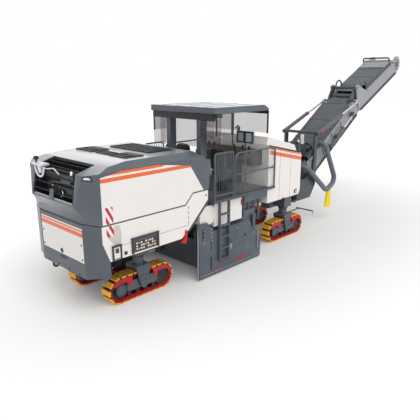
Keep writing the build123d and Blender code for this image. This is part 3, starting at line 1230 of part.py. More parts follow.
FRONT_END = upper_point(HEAD_S, UPPER_DEPTH / 2)[0] + UPPER_DEPTH / 2
MIDDLE_X = (HOOD_REAR + FRONT_END) / 2

os.makedirs("parts", exist_ok=True)
for node_name, piece in all_nodes().items():
    export_step(Pos(-MIDDLE_X, 0, 0) * piece, f"parts/{node_name}.step")
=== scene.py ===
import json
from math import cos, pi, radians, sin

import bmesh
import bpy
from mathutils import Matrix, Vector

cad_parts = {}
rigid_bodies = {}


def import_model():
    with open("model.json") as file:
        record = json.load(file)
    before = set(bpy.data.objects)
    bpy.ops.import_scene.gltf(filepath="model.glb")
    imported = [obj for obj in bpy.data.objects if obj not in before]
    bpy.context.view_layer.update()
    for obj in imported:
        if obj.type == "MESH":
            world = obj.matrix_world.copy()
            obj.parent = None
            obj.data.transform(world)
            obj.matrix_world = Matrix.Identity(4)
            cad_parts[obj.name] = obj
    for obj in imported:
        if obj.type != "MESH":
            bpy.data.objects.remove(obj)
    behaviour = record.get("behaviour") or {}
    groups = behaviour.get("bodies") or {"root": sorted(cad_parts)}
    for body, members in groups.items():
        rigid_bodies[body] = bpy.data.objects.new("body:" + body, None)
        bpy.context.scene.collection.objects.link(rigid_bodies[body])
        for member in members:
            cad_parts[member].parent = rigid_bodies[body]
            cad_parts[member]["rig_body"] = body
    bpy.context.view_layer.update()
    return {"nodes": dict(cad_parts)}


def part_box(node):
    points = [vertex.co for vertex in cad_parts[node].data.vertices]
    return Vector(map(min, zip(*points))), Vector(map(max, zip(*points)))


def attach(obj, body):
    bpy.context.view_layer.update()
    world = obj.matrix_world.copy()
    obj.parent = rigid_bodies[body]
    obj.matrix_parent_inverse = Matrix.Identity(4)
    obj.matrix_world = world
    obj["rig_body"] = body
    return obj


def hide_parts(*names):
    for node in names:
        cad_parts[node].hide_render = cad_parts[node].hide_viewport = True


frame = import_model()
scene = bpy.context.scene

# Studio. A pale floor and a white surround under wide soft light, seen from behind the right rear corner.
# Lengths along the machine count from the rear steering columns, which stand at COLUMN_X in the frame.
column_low, column_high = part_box("rear_right_fork")
COLUMN_X = (column_low.x + column_high.x) / 2
VIEW_POINT = (COLUMN_X - 5.644, -8.216, 4.538)
VIEW_YAW, VIEW_PITCH, VIEW_LENS, SENSOR_WIDTH, VIEW_REACH = radians(43.754), radians(15.796), 39.69, 36.0, 500.0
SURROUND_LIGHT, SUN_LIGHT, SUN_SPREAD, SUN_WAY = 0.62, 1.45, radians(55), (0.25, 0.70, -0.85)
FLOOR_REACH, FLOOR_COLOUR = 70, (0.86, 0.86, 0.85, 1.0)
# The floor's glow fades from strong far out to weak within this ellipse round the machine: a painted shade on the floor
# around and under it.
PAINTED_SHADE_ALONG, PAINTED_SHADE_ACROSS, GLOW_AND_PAINTED_SHADE_RAMP = 12.0, 6.5, {"From Min": 0.25, "From Max": 1.0, "To Min": 0.03, "To Max": 0.24}


def placed(name, data):
    """A new object in the scene."""
    obj = bpy.data.objects.new(name, data)
    scene.collection.objects.link(obj)
    return obj


camera = placed("camera", bpy.data.cameras.new("camera"))
camera.data.lens = VIEW_LENS
camera.data.sensor_width = SENSOR_WIDTH
camera.data.clip_end = VIEW_REACH
camera.location = VIEW_POINT
gaze = Vector((cos(VIEW_PITCH) * cos(VIEW_YAW), cos(VIEW_PITCH) * sin(VIEW_YAW), -sin(VIEW_PITCH)))
camera.rotation_mode = "QUATERNION"
camera.rotation_quaternion = gaze.to_track_quat("-Z", "Y")
scene.camera = camera
scene.view_settings.view_transform = "Standard"


def feed(tree, socket, value):
    """A fixed value, or what another socket gives, into a socket."""
    if isinstance(value, (int, float, tuple)):
        socket.default_value = value
    else:
        tree.links.new(value, socket)


def math_node(tree, operation, first, second=0.0):
    """Sum, product or the like of two sockets or numbers."""
    node = tree.nodes.new("ShaderNodeMath")
    node.operation = operation
    feed(tree, node.inputs[0], first)
    feed(tree, node.inputs[1], second)
    return node.outputs[0]


def seen_directly(tree):
    """1 for rays from the eye, from a gloss or through a pane, 0 for light that falls on something."""
    path = tree.nodes.new("ShaderNodeLightPath")
    total = path.outputs["Is Camera Ray"]
    for kind in ("Is Glossy Ray", "Is Transmission Ray"):
        total = math_node(tree, "MAXIMUM", total, path.outputs[kind])
    return total


surround = bpy.data.worlds.new("surround")
surround.use_nodes = True
scene.world = surround
tree = surround.node_tree
tree.nodes.clear()
lit, shown = tree.nodes.new("ShaderNodeBackground"), tree.nodes.new("ShaderNodeBackground")
lit.inputs["Strength"].default_value = SURROUND_LIGHT
lit.inputs["Color"].default_value = shown.inputs["Color"].default_value = (1.0, 1.0, 1.0, 1.0)
choose, world_out = tree.nodes.new("ShaderNodeMixShader"), tree.nodes.new("ShaderNodeOutputWorld")
tree.links.new(seen_directly(tree), choose.inputs[0])
tree.links.new(lit.outputs[0], choose.inputs[1])
tree.links.new(shown.outputs[0], choose.inputs[2])
tree.links.new(choose.outputs[0], world_out.inputs["Surface"])

sun = placed("soft_light", bpy.data.lights.new("soft_light", "SUN"))
sun.data.energy = SUN_LIGHT
sun.data.angle = SUN_SPREAD
sun.rotation_mode = "QUATERNION"
sun.rotation_quaternion = Vector(SUN_WAY).to_track_quat("-Z", "Y")

floor_mesh = bpy.data.meshes.new("floor")
floor_corners = [(x * FLOOR_REACH, y * FLOOR_REACH, 0) for x, y in ((-1, -1), (1, -1), (1, 1), (-1, 1))]
floor_mesh.from_pydata(floor_corners, [], [(0, 1, 2, 3)])
floor = placed("floor", floor_mesh)
floor_finish = bpy.data.materials.new("floor_white_and_painted_shade")
floor_finish.use_nodes = True
tree = floor_finish.node_tree
tree.nodes.clear()
matt, glow = tree.nodes.new("ShaderNodeBsdfDiffuse"), tree.nodes.new("ShaderNodeEmission")
matt.inputs["Color"].default_value = FLOOR_COLOUR
spread = tree.nodes.new("ShaderNodeMapping")
spread.inputs["Scale"].default_value = (1 / PAINTED_SHADE_ALONG, 1 / PAINTED_SHADE_ACROSS, 0.0)
tree.links.new(tree.nodes.new("ShaderNodeTexCoord").outputs["Object"], spread.inputs["Vector"])
away = tree.nodes.new("ShaderNodeVectorMath")
away.operation = "LENGTH"
tree.links.new(spread.outputs["Vector"], away.inputs[0])
# Painted shade: the floor glow is turned down near the machine, darkening the floor around it.
pale = tree.nodes.new("ShaderNodeMapRange")
pale.interpolation_type = "SMOOTHSTEP"
for label, value in GLOW_AND_PAINTED_SHADE_RAMP.items():
    pale.inputs[label].default_value = value
tree.links.new(away.outputs["Value"], pale.inputs["Value"])
glow_share = math_node(tree, "MULTIPLY", seen_directly(tree), pale.outputs["Result"])
tree.links.new(glow_share, glow.inputs["Strength"])
both, floor_out = tree.nodes.new("ShaderNodeAddShader"), tree.nodes.new("ShaderNodeOutputMaterial")
tree.links.new(matt.outputs[0], both.inputs[0])
tree.links.new(glow.outputs[0], both.inputs[1])
tree.links.new(both.outputs[0], floor_out.inputs["Surface"])
floor_mesh.materials.append(floor_finish)


# Crawler tracks. Four short tracks of 24 yellow polyurethane pads on red chain links, each round a grey frame with
# red guard plates over both ends, held in a bolted grey saddle under its steering column.
WHEEL_BASE = 5.35
TRACKS = {"rear_right": (0.0, -1), "rear_left": (0.0, 1), "front_right": (WHEEL_BASE, -1),
          "front_left": (WHEEL_BASE, 1)}
TRACK_Y, AXLE_Z, WHEEL_X, CHAIN_RADIUS, SHOE_COUNT = 0.66, 0.305, 0.56, 0.25, 24
PAD_LENGTH, PAD_WIDTH, PAD_FOOT, PAD_TOP = 0.122, 0.298, 0.012, 0.048
GUARD_IN, GUARD_OUT, BAR_IN, BAR_OUT = 0.132, 0.147, 0.105, 0.13
BEAM_HALF, BEAM_FOOT, SADDLE_FACE, HUB_FACE, HUB_BOLT_RING = 0.37, 0.215, 0.2, 0.15, 0.1
PAINT_GREY, OILY_BLACK = (76, 84, 94), (26, 27, 30)


def screen_colour(red, green, blue):
    """Colour as it reads on a screen, 0 to 255."""
    parts = [c / 255 for c in (red, green, blue)]
    return tuple(c / 12.92 if c < 0.04 else ((c + 0.055) / 1.055) ** 2.4 for c in parts) + (1.0,)


def surface_place(tree):
    """Where a point of the surface lies: along from the rear columns, across and up."""
    place = tree.nodes.new("ShaderNodeSeparateXYZ")
    tree.links.new(tree.nodes.new("ShaderNodeTexCoord").outputs["Object"], place.inputs[0])
    return math_node(tree, "SUBTRACT", place.outputs["X"], COLUMN_X), place.outputs["Y"], place.outputs["Z"]


def noise(tree, vector, scale, detail=3.0):
    """Noise value over a surface."""
    node = tree.nodes.new("ShaderNodeTexNoise")
    feed(tree, node.inputs["Scale"], scale)
    node.inputs["Detail"].default_value = detail
    tree.links.new(vector, node.inputs["Vector"])
    return node.outputs["Fac"]


def blend_colours(tree, share, first, second):
    """Colour between two colours, by a share."""
    node = tree.nodes.new("ShaderNodeMix")
    node.data_type = "RGBA"
    for k, value in ((0, share), (6, first), (7, second)):
        feed(tree, node.inputs[k], value)
    return node.outputs[2]


def dust_and_sheen_group():
    """Shader group: cloudy tint, dust on upward faces, a painted pale sheen on level upward faces that stands for the
    white surround's reflection, uneven gloss and a fine grain.
    """
    group = bpy.data.node_groups.new("dust_and_sheen_surface", "ShaderNodeTree")
    for name, kind, value in (("Colour", "NodeSocketColor", (0.5, 0.5, 0.5, 1.0)),
                              ("Dust Colour", "NodeSocketColor", (0.5, 0.45, 0.38, 1.0)),
                              ("Painted Sheen Colour", "NodeSocketColor", (0.6, 0.62, 0.65, 1.0)),
                              ("Painted Sheen", "NodeSocketFloat", 0.0), ("Dust", "NodeSocketFloat", 0.1),
                              ("Cloud", "NodeSocketFloat", 0.05), ("Gloss", "NodeSocketFloat", 0.4),
                              ("Grain", "NodeSocketFloat", 200.0)):
        group.interface.new_socket(name, in_out="INPUT", socket_type=kind).default_value = value
    for name, kind in (("Colour", "NodeSocketColor"), ("Roughness", "NodeSocketFloat"), ("Height", "NodeSocketFloat")):
        group.interface.new_socket(name, in_out="OUTPUT", socket_type=kind)
    given, out = group.nodes.new("NodeGroupInput"), group.nodes.new("NodeGroupOutput")
    place = group.nodes.new("ShaderNodeTexCoord").outputs["Object"]
    facing = group.nodes.new("ShaderNodeSeparateXYZ")
    group.links.new(group.nodes.new("ShaderNodeNewGeometry").outputs["Normal"], facing.inputs[0])
    clouds, streaks = noise(group, place, 1.7, 4.0), noise(group, place, 11.0, 5.0)
    shade = math_node(group, "MULTIPLY", math_node(group, "SUBTRACT", clouds, 0.5), given.outputs["Cloud"])
    dark = blend_colours(group, math_node(group, "MAXIMUM", math_node(group, "MULTIPLY", shade, -4.0), 0.0),
                         given.outputs["Colour"], (0.0, 0.0, 0.0, 1.0))
    light = blend_colours(group, math_node(group, "MAXIMUM", math_node(group, "MULTIPLY", shade, 2.0), 0.0),
                          dark, (1.0, 1.0, 1.0, 1.0))
    # Painted sheen: level upward faces are lightened towards the sheen colour, a painted reflection of the white
    # surround.
    level = group.nodes.new("ShaderNodeMapRange")
    level.inputs["From Min"].default_value, level.inputs["From Max"].default_value = 0.93, 1.0
    group.links.new(facing.outputs["Z"], level.inputs["Value"])
    with_painted_sheen = blend_colours(group, math_node(group, "MULTIPLY", level.outputs[0], given.outputs["Painted Sheen"]), light,
                           given.outputs["Painted Sheen Colour"])
    tilt = math_node(group, "MULTIPLY", math_node(group, "SUBTRACT", facing.outputs["Z"], 0.2), 1.25)
    upward = math_node(group, "MAXIMUM", tilt, 0.0)
    lying = math_node(group, "MULTIPLY", math_node(group, "MULTIPLY", upward, streaks), given.outputs["Dust"])
    dusty = math_node(group, "MINIMUM", math_node(group, "MULTIPLY", lying, 2.0), 1.0)
    group.links.new(blend_colours(group, dusty, with_painted_sheen, given.outputs["Dust Colour"]), out.inputs["Colour"])
    uneven = math_node(group, "MULTIPLY", math_node(group, "SUBTRACT", streaks, 0.5), 0.16)
    rough = math_node(group, "ADD", math_node(group, "ADD", given.outputs["Gloss"], uneven),
                      math_node(group, "MULTIPLY", dusty, 0.35))
    group.links.new(math_node(group, "MAXIMUM", rough, 0.0), out.inputs["Roughness"])
    group.links.new(noise(group, place, given.outputs["Grain"], 2.0), out.inputs["Height"])
    return group


DUST_AND_SHEEN_SURFACE = dust_and_sheen_group()


def finish(name, colour, gloss, dust=0.05, cloud=0.05, grain=260.0, relief=0.04, metal=0.0, coat=0.0,
           dust_colour=(150, 140, 125), painted_sheen=0.0, painted_sheen_colour=(206, 208, 214)):
    """Finish whose look varies over the surface, with an optional painted pale sheen on level upward faces. Colour may
    also be a function that wires a pattern.
    """
    made = bpy.data.materials.new(name)
    made.use_nodes = True
    tree = made.node_tree
    shader = tree.nodes["Principled BSDF"]
    shader.inputs["Metallic"].default_value = metal
    shader.inputs["Coat Weight"].default_value = coat
    shader.inputs["Coat Roughness"].default_value = 0.12
    dust_and_sheen_node = tree.nodes.new("ShaderNodeGroup")
    dust_and_sheen_node.node_tree = DUST_AND_SHEEN_SURFACE
    feed(tree, dust_and_sheen_node.inputs["Colour"], colour(tree) if callable(colour) else screen_colour(*colour))
    dust_and_sheen_node.inputs["Dust Colour"].default_value = screen_colour(*dust_colour)
    dust_and_sheen_node.inputs["Painted Sheen Colour"].default_value = screen_colour(*painted_sheen_colour)
    for label, value in (("Painted Sheen", painted_sheen), ("Dust", dust), ("Cloud", cloud), ("Gloss", gloss), ("Grain", grain)):
        dust_and_sheen_node.inputs[label].default_value = value
    bump = tree.nodes.new("ShaderNodeBump")
    bump.inputs["Strength"].default_value = relief
    bump.inputs["Distance"].default_value = 0.002
    tree.links.new(dust_and_sheen_node.outputs["Colour"], shader.inputs["Base Color"])
    tree.links.new(dust_and_sheen_node.outputs["Roughness"], shader.inputs["Roughness"])
    tree.links.new(dust_and_sheen_node.outputs["Height"], bump.inputs["Height"])
    tree.links.new(bump.outputs["Normal"], shader.inputs["Normal"])
    return made


# Grey paint with a faint painted sheen on its level upward faces.
GREY_PAINT_AND_SHEEN = finish("grey_paint_and_sheen", PAINT_GREY, 0.38, coat=0.15, painted_sheen=0.15)
DARK_PAINT = finish("dark_paint", (46, 51, 58), 0.42, coat=0.1)
PAD_YELLOW = finish("pad_yellow", (255, 192, 44), 0.55, dust=0.7, cloud=0.1, grain=90, relief=0.3,
                    dust_colour=(150, 118, 52))
LINK_RED = finish("link_red", (186, 8, 28), 0.45, dust=0.04)
SHOE_STEEL = finish("shoe_steel", (70, 24, 26), 0.55, dust=0.15)
BLACK_METAL = finish("black_metal", (26, 28, 31), 0.5, dust=0.06)
BRIGHT_STEEL = finish("bright_steel", (205, 206, 208), 0.22, dust=0.02, metal=1.0)


def box_into(bm, x0, x1, y0, y1, z0, z1):
    """Box between two corners."""
    v = [bm.verts.new((x, y, z)) for x in (x0, x1) for y in (y0, y1) for z in (z0, z1)]
    for corners in ((0, 1, 3, 2), (4, 6, 7, 5), (0, 4, 5, 1), (2, 3, 7, 6), (0, 2, 6, 4), (1, 5, 7, 3)):
        bm.faces.new([v[c] for c in corners])


def plate_between(bm, near, far):
    """Plate between two like outlines."""
    near, far = [bm.verts.new(at) for at in near], [bm.verts.new(at) for at in far]
    bm.faces.new(near)
    bm.faces.new(far[::-1])
    for k in range(len(near)):
        n = (k + 1) % len(near)
        bm.faces.new((near[k], far[k], far[n], near[n]))


def prism_into(bm, outline, y0, y1):
    """Outline in the side view (x, z), as thick as y0 to y1."""
    plate_between(bm, [(x, y0, z) for x, z in outline], [(x, y1, z) for x, z in outline])


def tube_into(bm, points, radius, sides=12):
    """Round bar or tube along points, closed at both ends. One radius, or one for each point."""
    points = [Vector(p) for p in points]
    radii = radius if isinstance(radius, (list, tuple)) else [radius] * len(points)
    rings, across = [], None
    for k, point in enumerate(points):
        ahead = points[min(k + 1, len(points) - 1)] - points[max(k - 1, 0)]
        ahead.normalize()
        if across is None:
            across = ahead.orthogonal()
        across = (across - ahead * across.dot(ahead)).normalized()
        up = ahead.cross(across)
        turns = [2 * pi * s / sides for s in range(sides)]
        rings.append([bm.verts.new(point + radii[k] * (across * cos(turn) + up * sin(turn))) for turn in turns])
    for first, second in zip(rings, rings[1:]):
        for s in range(sides):
            n = (s + 1) % sides
            bm.faces.new((first[s], first[n], second[n], second[s]))
    bm.faces.new(rings[0][::-1])
    bm.faces.new(rings[-1])


def soften(obj, edge):
    """Rounded edges on a sheet or cast piece."""
    mesh = obj.data
    mesh.polygons.foreach_set("use_smooth", [True] * len(mesh.polygons))
    mesh.set_sharp_from_angle(angle=radians(32))
    if edge:
        bevel = obj.modifiers.new("edges", "BEVEL")
        bevel.width = edge
        bevel.segments = 2
        bevel.limit_method = "ANGLE"
        bevel.angle_limit = radians(35)
        bevel.harden_normals = True


def carried(obj, body, edge, stands_for):
    """The piece with its edges softened, on its body and in place of the nodes it shows."""
    soften(obj, edge)
    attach(obj, body)
    if stands_for:
        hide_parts(*stands_for)


def piece(name, bm, look, body, edge=0.0, stands_for=()):
    """A finished piece, drawn from the rear columns, set in the frame and carried by its body."""
    bmesh.ops.translate(bm, vec=(COLUMN_X, 0, 0), verts=bm.verts)
    bmesh.ops.recalc_face_normals(bm, faces=bm.faces)
    mesh = bpy.data.meshes.new(name)
    bm.to_mesh(mesh)
    bm.free()
    mesh.materials.append(look)
    obj = placed(name, mesh)
    carried(obj, body, edge, stands_for)
    return obj


def rounded(node, look, edge):
    """A sheet-metal piece with the same shape as its solid, and rounded edges."""
    source = frame["nodes"][node]
    bm = bmesh.new()
    bm.from_mesh(source.data)
    bmesh.ops.remove_doubles(bm, verts=bm.verts, dist=0.00002)
    bmesh.ops.dissolve_limit(bm, angle_limit=radians(0.4), use_dissolve_boundaries=False, verts=bm.verts,
                             edges=bm.edges)
    bmesh.ops.translate(bm, vec=(-COLUMN_X, 0, 0), verts=bm.verts)
    piece(node + "_skin", bm, look, source["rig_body"], edge, (node,))


def coat(look, *nodes):
    """The finish on pieces whose shape is shown as it is."""
    for node in nodes:
        for slot in frame["nodes"][node].material_slots:
            slot.material = look


def places_tree():
    """Geometry tree: one shape set at every place, turned as the place says."""
    group = bpy.data.node_groups.new("set_at_places", "GeometryNodeTree")
    for name, kind in (("Places", "NodeSocketGeometry"), ("Shape", "NodeSocketObject"),
                       ("Size", "NodeSocketFloat"), ("Finish", "NodeSocketMaterial")):
        group.interface.new_socket(name, in_out="INPUT", socket_type=kind)
    group.interface.new_socket("Pieces", in_out="OUTPUT", socket_type="NodeSocketGeometry")
    given, out = group.nodes.new("NodeGroupInput"), group.nodes.new("NodeGroupOutput")
    shape = group.nodes.new("GeometryNodeObjectInfo")
    turn = group.nodes.new("GeometryNodeInputNamedAttribute")
    turn.data_type = "FLOAT_VECTOR"
    turn.inputs["Name"].default_value = "turn"
    euler = group.nodes.new("FunctionNodeEulerToRotation")
    on_points = group.nodes.new("GeometryNodeInstanceOnPoints")
    real, look = group.nodes.new("GeometryNodeRealizeInstances"), group.nodes.new("GeometryNodeSetMaterial")
    for source, gives, target, takes in ((given, "Places", on_points, "Points"), (given, "Shape", shape, "Object"),
                                         (shape, "Geometry", on_points, "Instance"), (turn, "Attribute", euler, 0),
                                         (euler, 0, on_points, "Rotation"), (given, "Size", on_points, "Scale"),
                                         (on_points, "Instances", real, 0), (real, 0, look, "Geometry"),
                                         (given, "Finish", look, "Material"), (look, 0, out, "Pieces")):
        group.links.new(source.outputs[gives], target.inputs[takes])
    return group


SET_AT_PLACES = places_tree()


def repeated(name, shape, places, look, body, size=1.0, stands_for=()):
    """Like pieces at places (x, y, z, turn x, turn y, turn z), as one plain mesh on one body."""
    bmesh.ops.recalc_face_normals(shape, faces=shape.faces)
    sample = placed("sample", bpy.data.meshes.new("sample"))
    shape.to_mesh(sample.data)
    shape.free()
    points = bpy.data.meshes.new(name)
    points.from_pydata([(COLUMN_X + p[0], p[1], p[2]) for p in places], [], [])
    turns = points.attributes.new("turn", "FLOAT_VECTOR", "POINT")
    turns.data.foreach_set("vector", [angle for p in places for angle in p[3:6]])
    obj = placed(name, points)
    grow = obj.modifiers.new("places", "NODES")
    grow.node_group = SET_AT_PLACES
    values = {"Shape": sample, "Size": size, "Finish": look}
    for item in SET_AT_PLACES.interface.items_tree:
        if item.in_out == "INPUT" and item.name in values:
            grow[item.identifier] = values[item.name]
    bpy.context.view_layer.update()
    made = bpy.data.meshes.new_from_object(obj.evaluated_get(bpy.context.evaluated_depsgraph_get()))
    obj.modifiers.clear()
    obj.data = made
    bpy.data.objects.remove(sample)
    carried(obj, body, 0.0, stands_for)


def chamfered(bm, width):
    """Edges of a small solid cut back."""
    bmesh.ops.bevel(bm, geom=bm.edges[:], offset=width, segments=1, affect="EDGES")
    return bm


def bolt_shape(across, height):
    """Hexagon head on a washer, standing on its place."""
    bm = bmesh.new()
    tube_into(bm, [(0, 0, 0), (0, 0, 0.25 * height)], 0.75 * across, 14)
    tube_into(bm, [(0, 0, 0.25 * height), (0, 0, height)], 0.55 * across, 6)
    return bm


def loop_place(distance):
    """Point on the chain and its turn, at a distance from the front wheel's top."""
    bend, run = pi * CHAIN_RADIUS, 2 * WHEEL_X
    if distance < bend:
        turn = distance / CHAIN_RADIUS
        return WHEEL_X + CHAIN_RADIUS * sin(turn), CHAIN_RADIUS * cos(turn), turn
    if distance < bend + run:
        return WHEEL_X - (distance - bend), -CHAIN_RADIUS, pi
    if distance < 2 * bend + run:
        turn = pi + (distance - bend - run) / CHAIN_RADIUS
        return -WHEEL_X + CHAIN_RADIUS * sin(turn), CHAIN_RADIUS * cos(turn), turn
    return -WHEEL_X + distance - 2 * bend - run, CHAIN_RADIUS, 0.0


SHOE_PITCH = (4 * WHEEL_X + 2 * pi * CHAIN_RADIUS) / SHOE_COUNT
REAR_GUARD = [(-0.77, 0.45), (-0.70, 0.515), (-0.60, 0.552), (-0.26, 0.552), (-0.26, 0.35), (-0.35, 0.35),
              (-0.38, 0.43), (-0.47, 0.455), (-0.58, 0.45), (-0.70, 0.40)]
FRONT_GUARD = [(0.28, 0.552), (0.62, 0.552), (0.74, 0.49), (0.79, 0.40), (0.80, 0.30), (0.75, 0.30), (0.735, 0.37),
               (0.69, 0.43), (0.60, 0.455), (0.42, 0.45), (0.40, 0.35), (0.31, 0.35), (0.31, 0.43)]
SIDE_BAR = [(-0.36, 0.215), (0.36, 0.215), (0.42, 0.25), (0.42, 0.40), (0.36, 0.43), (-0.36, 0.43), (-0.40, 0.38),
            (-0.40, 0.25)]
SADDLE_BOLTS = [(-0.07, 0.50), (0.0, 0.50), (0.07, 0.50), (-0.15, 0.60), (0.15, 0.60), (-0.05, 0.40), (0.05, 0.40)]


def beam_and_wheels(tree):
    """Grey paint on the beam between the wheels, oily black on the wheels and rollers."""
    along, _, up = surface_place(tree)
    nearest = math_node(tree, "MINIMUM", math_node(tree, "ABSOLUTE", along),
                        math_node(tree, "ABSOLUTE", math_node(tree, "SUBTRACT", along, WHEEL_BASE)))
    beam = math_node(tree, "MULTIPLY", math_node(tree, "LESS_THAN", nearest, BEAM_HALF),
                     math_node(tree, "GREATER_THAN", up, BEAM_FOOT))
    return blend_colours(tree, beam, screen_colour(*OILY_BLACK), screen_colour(*PAINT_GREY))


TRACK_PAINT = finish("track_paint", beam_and_wheels, 0.45, dust=0.08)
for track, (track_x, side) in TRACKS.items():
    body, track_y = "track_" + track, side * TRACK_Y
    shoe_places = []
    for k in range(SHOE_COUNT):
        x, z, turn = loop_place((k + 0.5) * SHOE_PITCH)
        shoe_places.append((track_x + x, track_y, AXLE_Z + z, 0.0, turn, 0.0))
    pad = bmesh.new()
    box_into(pad, -PAD_LENGTH / 2, PAD_LENGTH / 2, -PAD_WIDTH / 2, PAD_WIDTH / 2, PAD_FOOT, PAD_TOP)
    repeated(track + "_pads", chamfered(pad, 0.009), shoe_places, PAD_YELLOW, body,
             stands_for=(track + "_loop",))
    plate = bmesh.new()
    box_into(plate, -0.072, 0.072, -0.143, 0.143, -0.006, 0.014)
    repeated(track + "_shoe_plates", plate, shoe_places, SHOE_STEEL, body)
    link = bmesh.new()
    for y in (-0.085, 0.085):
        box_into(link, -0.078, 0.078, y - 0.02, y + 0.02, -0.034, -0.006)
    for y in (-0.13, 0.13):
        box_into(link, -0.05, 0.05, y - 0.018, y + 0.018, -0.010, 0.016)
    tube_into(link, [(-0.055, -0.148, -0.012), (-0.055, 0.148, -0.012)], 0.016, 8)
    repeated(track + "_links", link, shoe_places, LINK_RED, body)
    guards, side_bars = bmesh.new(), bmesh.new()
    for bm, outline, near, far in ((guards, REAR_GUARD, GUARD_IN, GUARD_OUT),
                                   (guards, FRONT_GUARD, GUARD_IN, GUARD_OUT),
                                   (side_bars, SIDE_BAR, BAR_IN, BAR_OUT)):
        for y0, y1 in ((near, far), (-far, -near)):
            prism_into(bm, [(track_x + x, z) for x, z in outline], track_y + y0, track_y + y1)
    for x in (-0.33, 0.35):
        box_into(guards, track_x + x - 0.02, track_x + x + 0.02, track_y - 0.135, track_y + 0.135, 0.41, 0.45)
    piece(track + "_guards", guards, LINK_RED, body, 0.004)
    rounded(track + "_fork", GREY_PAINT_AND_SHEEN, 0.008)
    rounded(track + "_track_frame", TRACK_PAINT, 0.005)
    piece(track + "_side_bars", side_bars, GREY_PAINT_AND_SHEEN, body, 0.006)
    turn, hub_x, hub_face = -side * pi / 2, track_x - WHEEL_X, track_y + side * HUB_FACE
    bolts = [(track_x + x, track_y + side * SADDLE_FACE, z, turn, 0, 0) for x, z in SADDLE_BOLTS]
    for a in range(10):
        x, z = HUB_BOLT_RING * cos(a * pi / 5), HUB_BOLT_RING * sin(a * pi / 5)
        bolts.append((hub_x + x, hub_face, AXLE_Z + z, turn, 0, 0))
    repeated(track + "_bolts", bolt_shape(0.026, 0.016), bolts, GREY_PAINT_AND_SHEEN, body)
    hub = bmesh.new()
    tube_into(hub, [(hub_x, hub_face + side * proud, AXLE_Z) for proud in (-0.03, -0.002, 0.003, 0.006)],
              [0.125, 0.125, 0.118, 0.07], 32)
    piece(track + "_hub_caps", hub, GREY_PAINT_AND_SHEEN, body)

coat(DARK_PAINT, "steering_pointer")


# Main frame. Welded grey side members with the leg sleeves, and the arm that carries the conveyor in front.
# A collar under each sleeve closes its steering column against dust.
coat(GREY_PAINT_AND_SHEEN, "main_frame", "drum_housing", "loading_conveyor")
COLLAR_STEPS, COLLAR_RADII = (0.90, 0.915, 0.935, 0.95), [0.135, 0.15, 0.15, 0.15]
for track, (track_x, side) in TRACKS.items():
    collar = bmesh.new()
    tube_into(collar, [(track_x, side * TRACK_Y, z) for z in COLLAR_STEPS], COLLAR_RADII, 28)
    piece(track + "_collar", collar, BLACK_METAL, "chassis")


# Tail. Grey welded tail with angled corners and a bumper, and a white service panel with two orange stripes.
# Towing eyes hang under the bumper; a black oval grip sits in its top edge, below the panel's round latch.
BODY_WHITE, STRIPE_ORANGE, EYE_BLACK = (238, 233, 229), (235, 104, 40), (24, 25, 28)
TAIL_X, EYES_TOP, EYES_REACH, SEAM_Y, SEAM_REACH = -1.36, 0.818, 0.6, 0.81, 0.83


def band_mask(tree, bands):
    """Stripes on an upright sheet: each band has its lower and upper edge, its ends, and a slope along the sheet."""
    x, _, z = surface_place(tree)
    total = None
    for low, high, start, end, slope, lean in bands:
        level = math_node(tree, "SUBTRACT", z, math_node(tree, "MULTIPLY", x, slope))
        inside = math_node(tree, "MULTIPLY", math_node(tree, "GREATER_THAN", level, low),
                           math_node(tree, "LESS_THAN", level, high))
        leaning = math_node(tree, "SUBTRACT", x, math_node(tree, "MULTIPLY", level, lean))
        for operation, limit in (("GREATER_THAN", start - lean * low), ("LESS_THAN", end - lean * low)):
            inside = math_node(tree, "MULTIPLY", inside, math_node(tree, operation, leaning, limit))
        total = inside if total is None else math_node(tree, "MAXIMUM", total, inside)
    return total


def striped_paint(name, bands):
    """White paint with orange stripes."""
    def stripes(tree):
        return blend_colours(tree, band_mask(tree, bands), screen_colour(*BODY_WHITE), screen_colour(*STRIPE_ORANGE))
    return finish(name, stripes, 0.34, dust=0.03, cloud=0.03, coat=0.25)


WHITE_PAINT = finish("white_paint", BODY_WHITE, 0.34, dust=0.03, cloud=0.03, coat=0.25)


def tail_colour(tree):
    """Grey paint, with the towing eyes under the bumper black."""
    _, y, z = surface_place(tree)
    eyes = math_node(tree, "MULTIPLY", math_node(tree, "LESS_THAN", z, EYES_TOP),
                     math_node(tree, "LESS_THAN", math_node(tree, "ABSOLUTE", y), EYES_REACH))
    return blend_colours(tree, eyes, screen_colour(*PAINT_GREY), screen_colour(*EYE_BLACK))


rounded("tail", finish("tail_paint", tail_colour, 0.38, coat=0.15), 0.010)
rounded("tail_panel", striped_paint("tail_stripes", [(1.765, 1.80, -9, 9, 0, 0), (1.66, 1.745, -9, 9, 0, 0)]),
        0.006)
grip = bmesh.new()
oval = [(0.13 * cos(a * pi / 12), 1.075 + 0.032 * sin(a * pi / 12)) for a in range(24)]
plate_between(grip, [(TAIL_X - 0.003, y, z) for y, z in oval], [(TAIL_X + 0.01, y, z) for y, z in oval])
tube_into(grip, [(TAIL_X + depth, 0.03, 1.205) for depth in (0.004, -0.006, -0.009)], [0.05, 0.05, 0.042], 24)
piece("bumper_grip", grip, BLACK_METAL, "chassis")
seams = bmesh.new()
for y in (-SEAM_Y, SEAM_Y):
    box_into(seams, TAIL_X - 0.002, TAIL_X + 0.004, y - 0.006, y + 0.006, 1.13, 1.84)
box_into(seams, TAIL_X - 0.002, TAIL_X + 0.004, -SEAM_REACH, SEAM_REACH, 1.124, 1.134)
box_into(seams, TAIL_X - 0.002, TAIL_X + 0.02, -SEAM_REACH, SEAM_REACH, 1.905, 1.94)
piece("tail_seams", seams, BLACK_METAL, "chassis")
spots = [(y, z) for y in (-0.74, 0.74) for z in (1.2, 1.5)] + [(y, 0.87) for y in (-0.6, -0.2, 0.2, 0.6)]
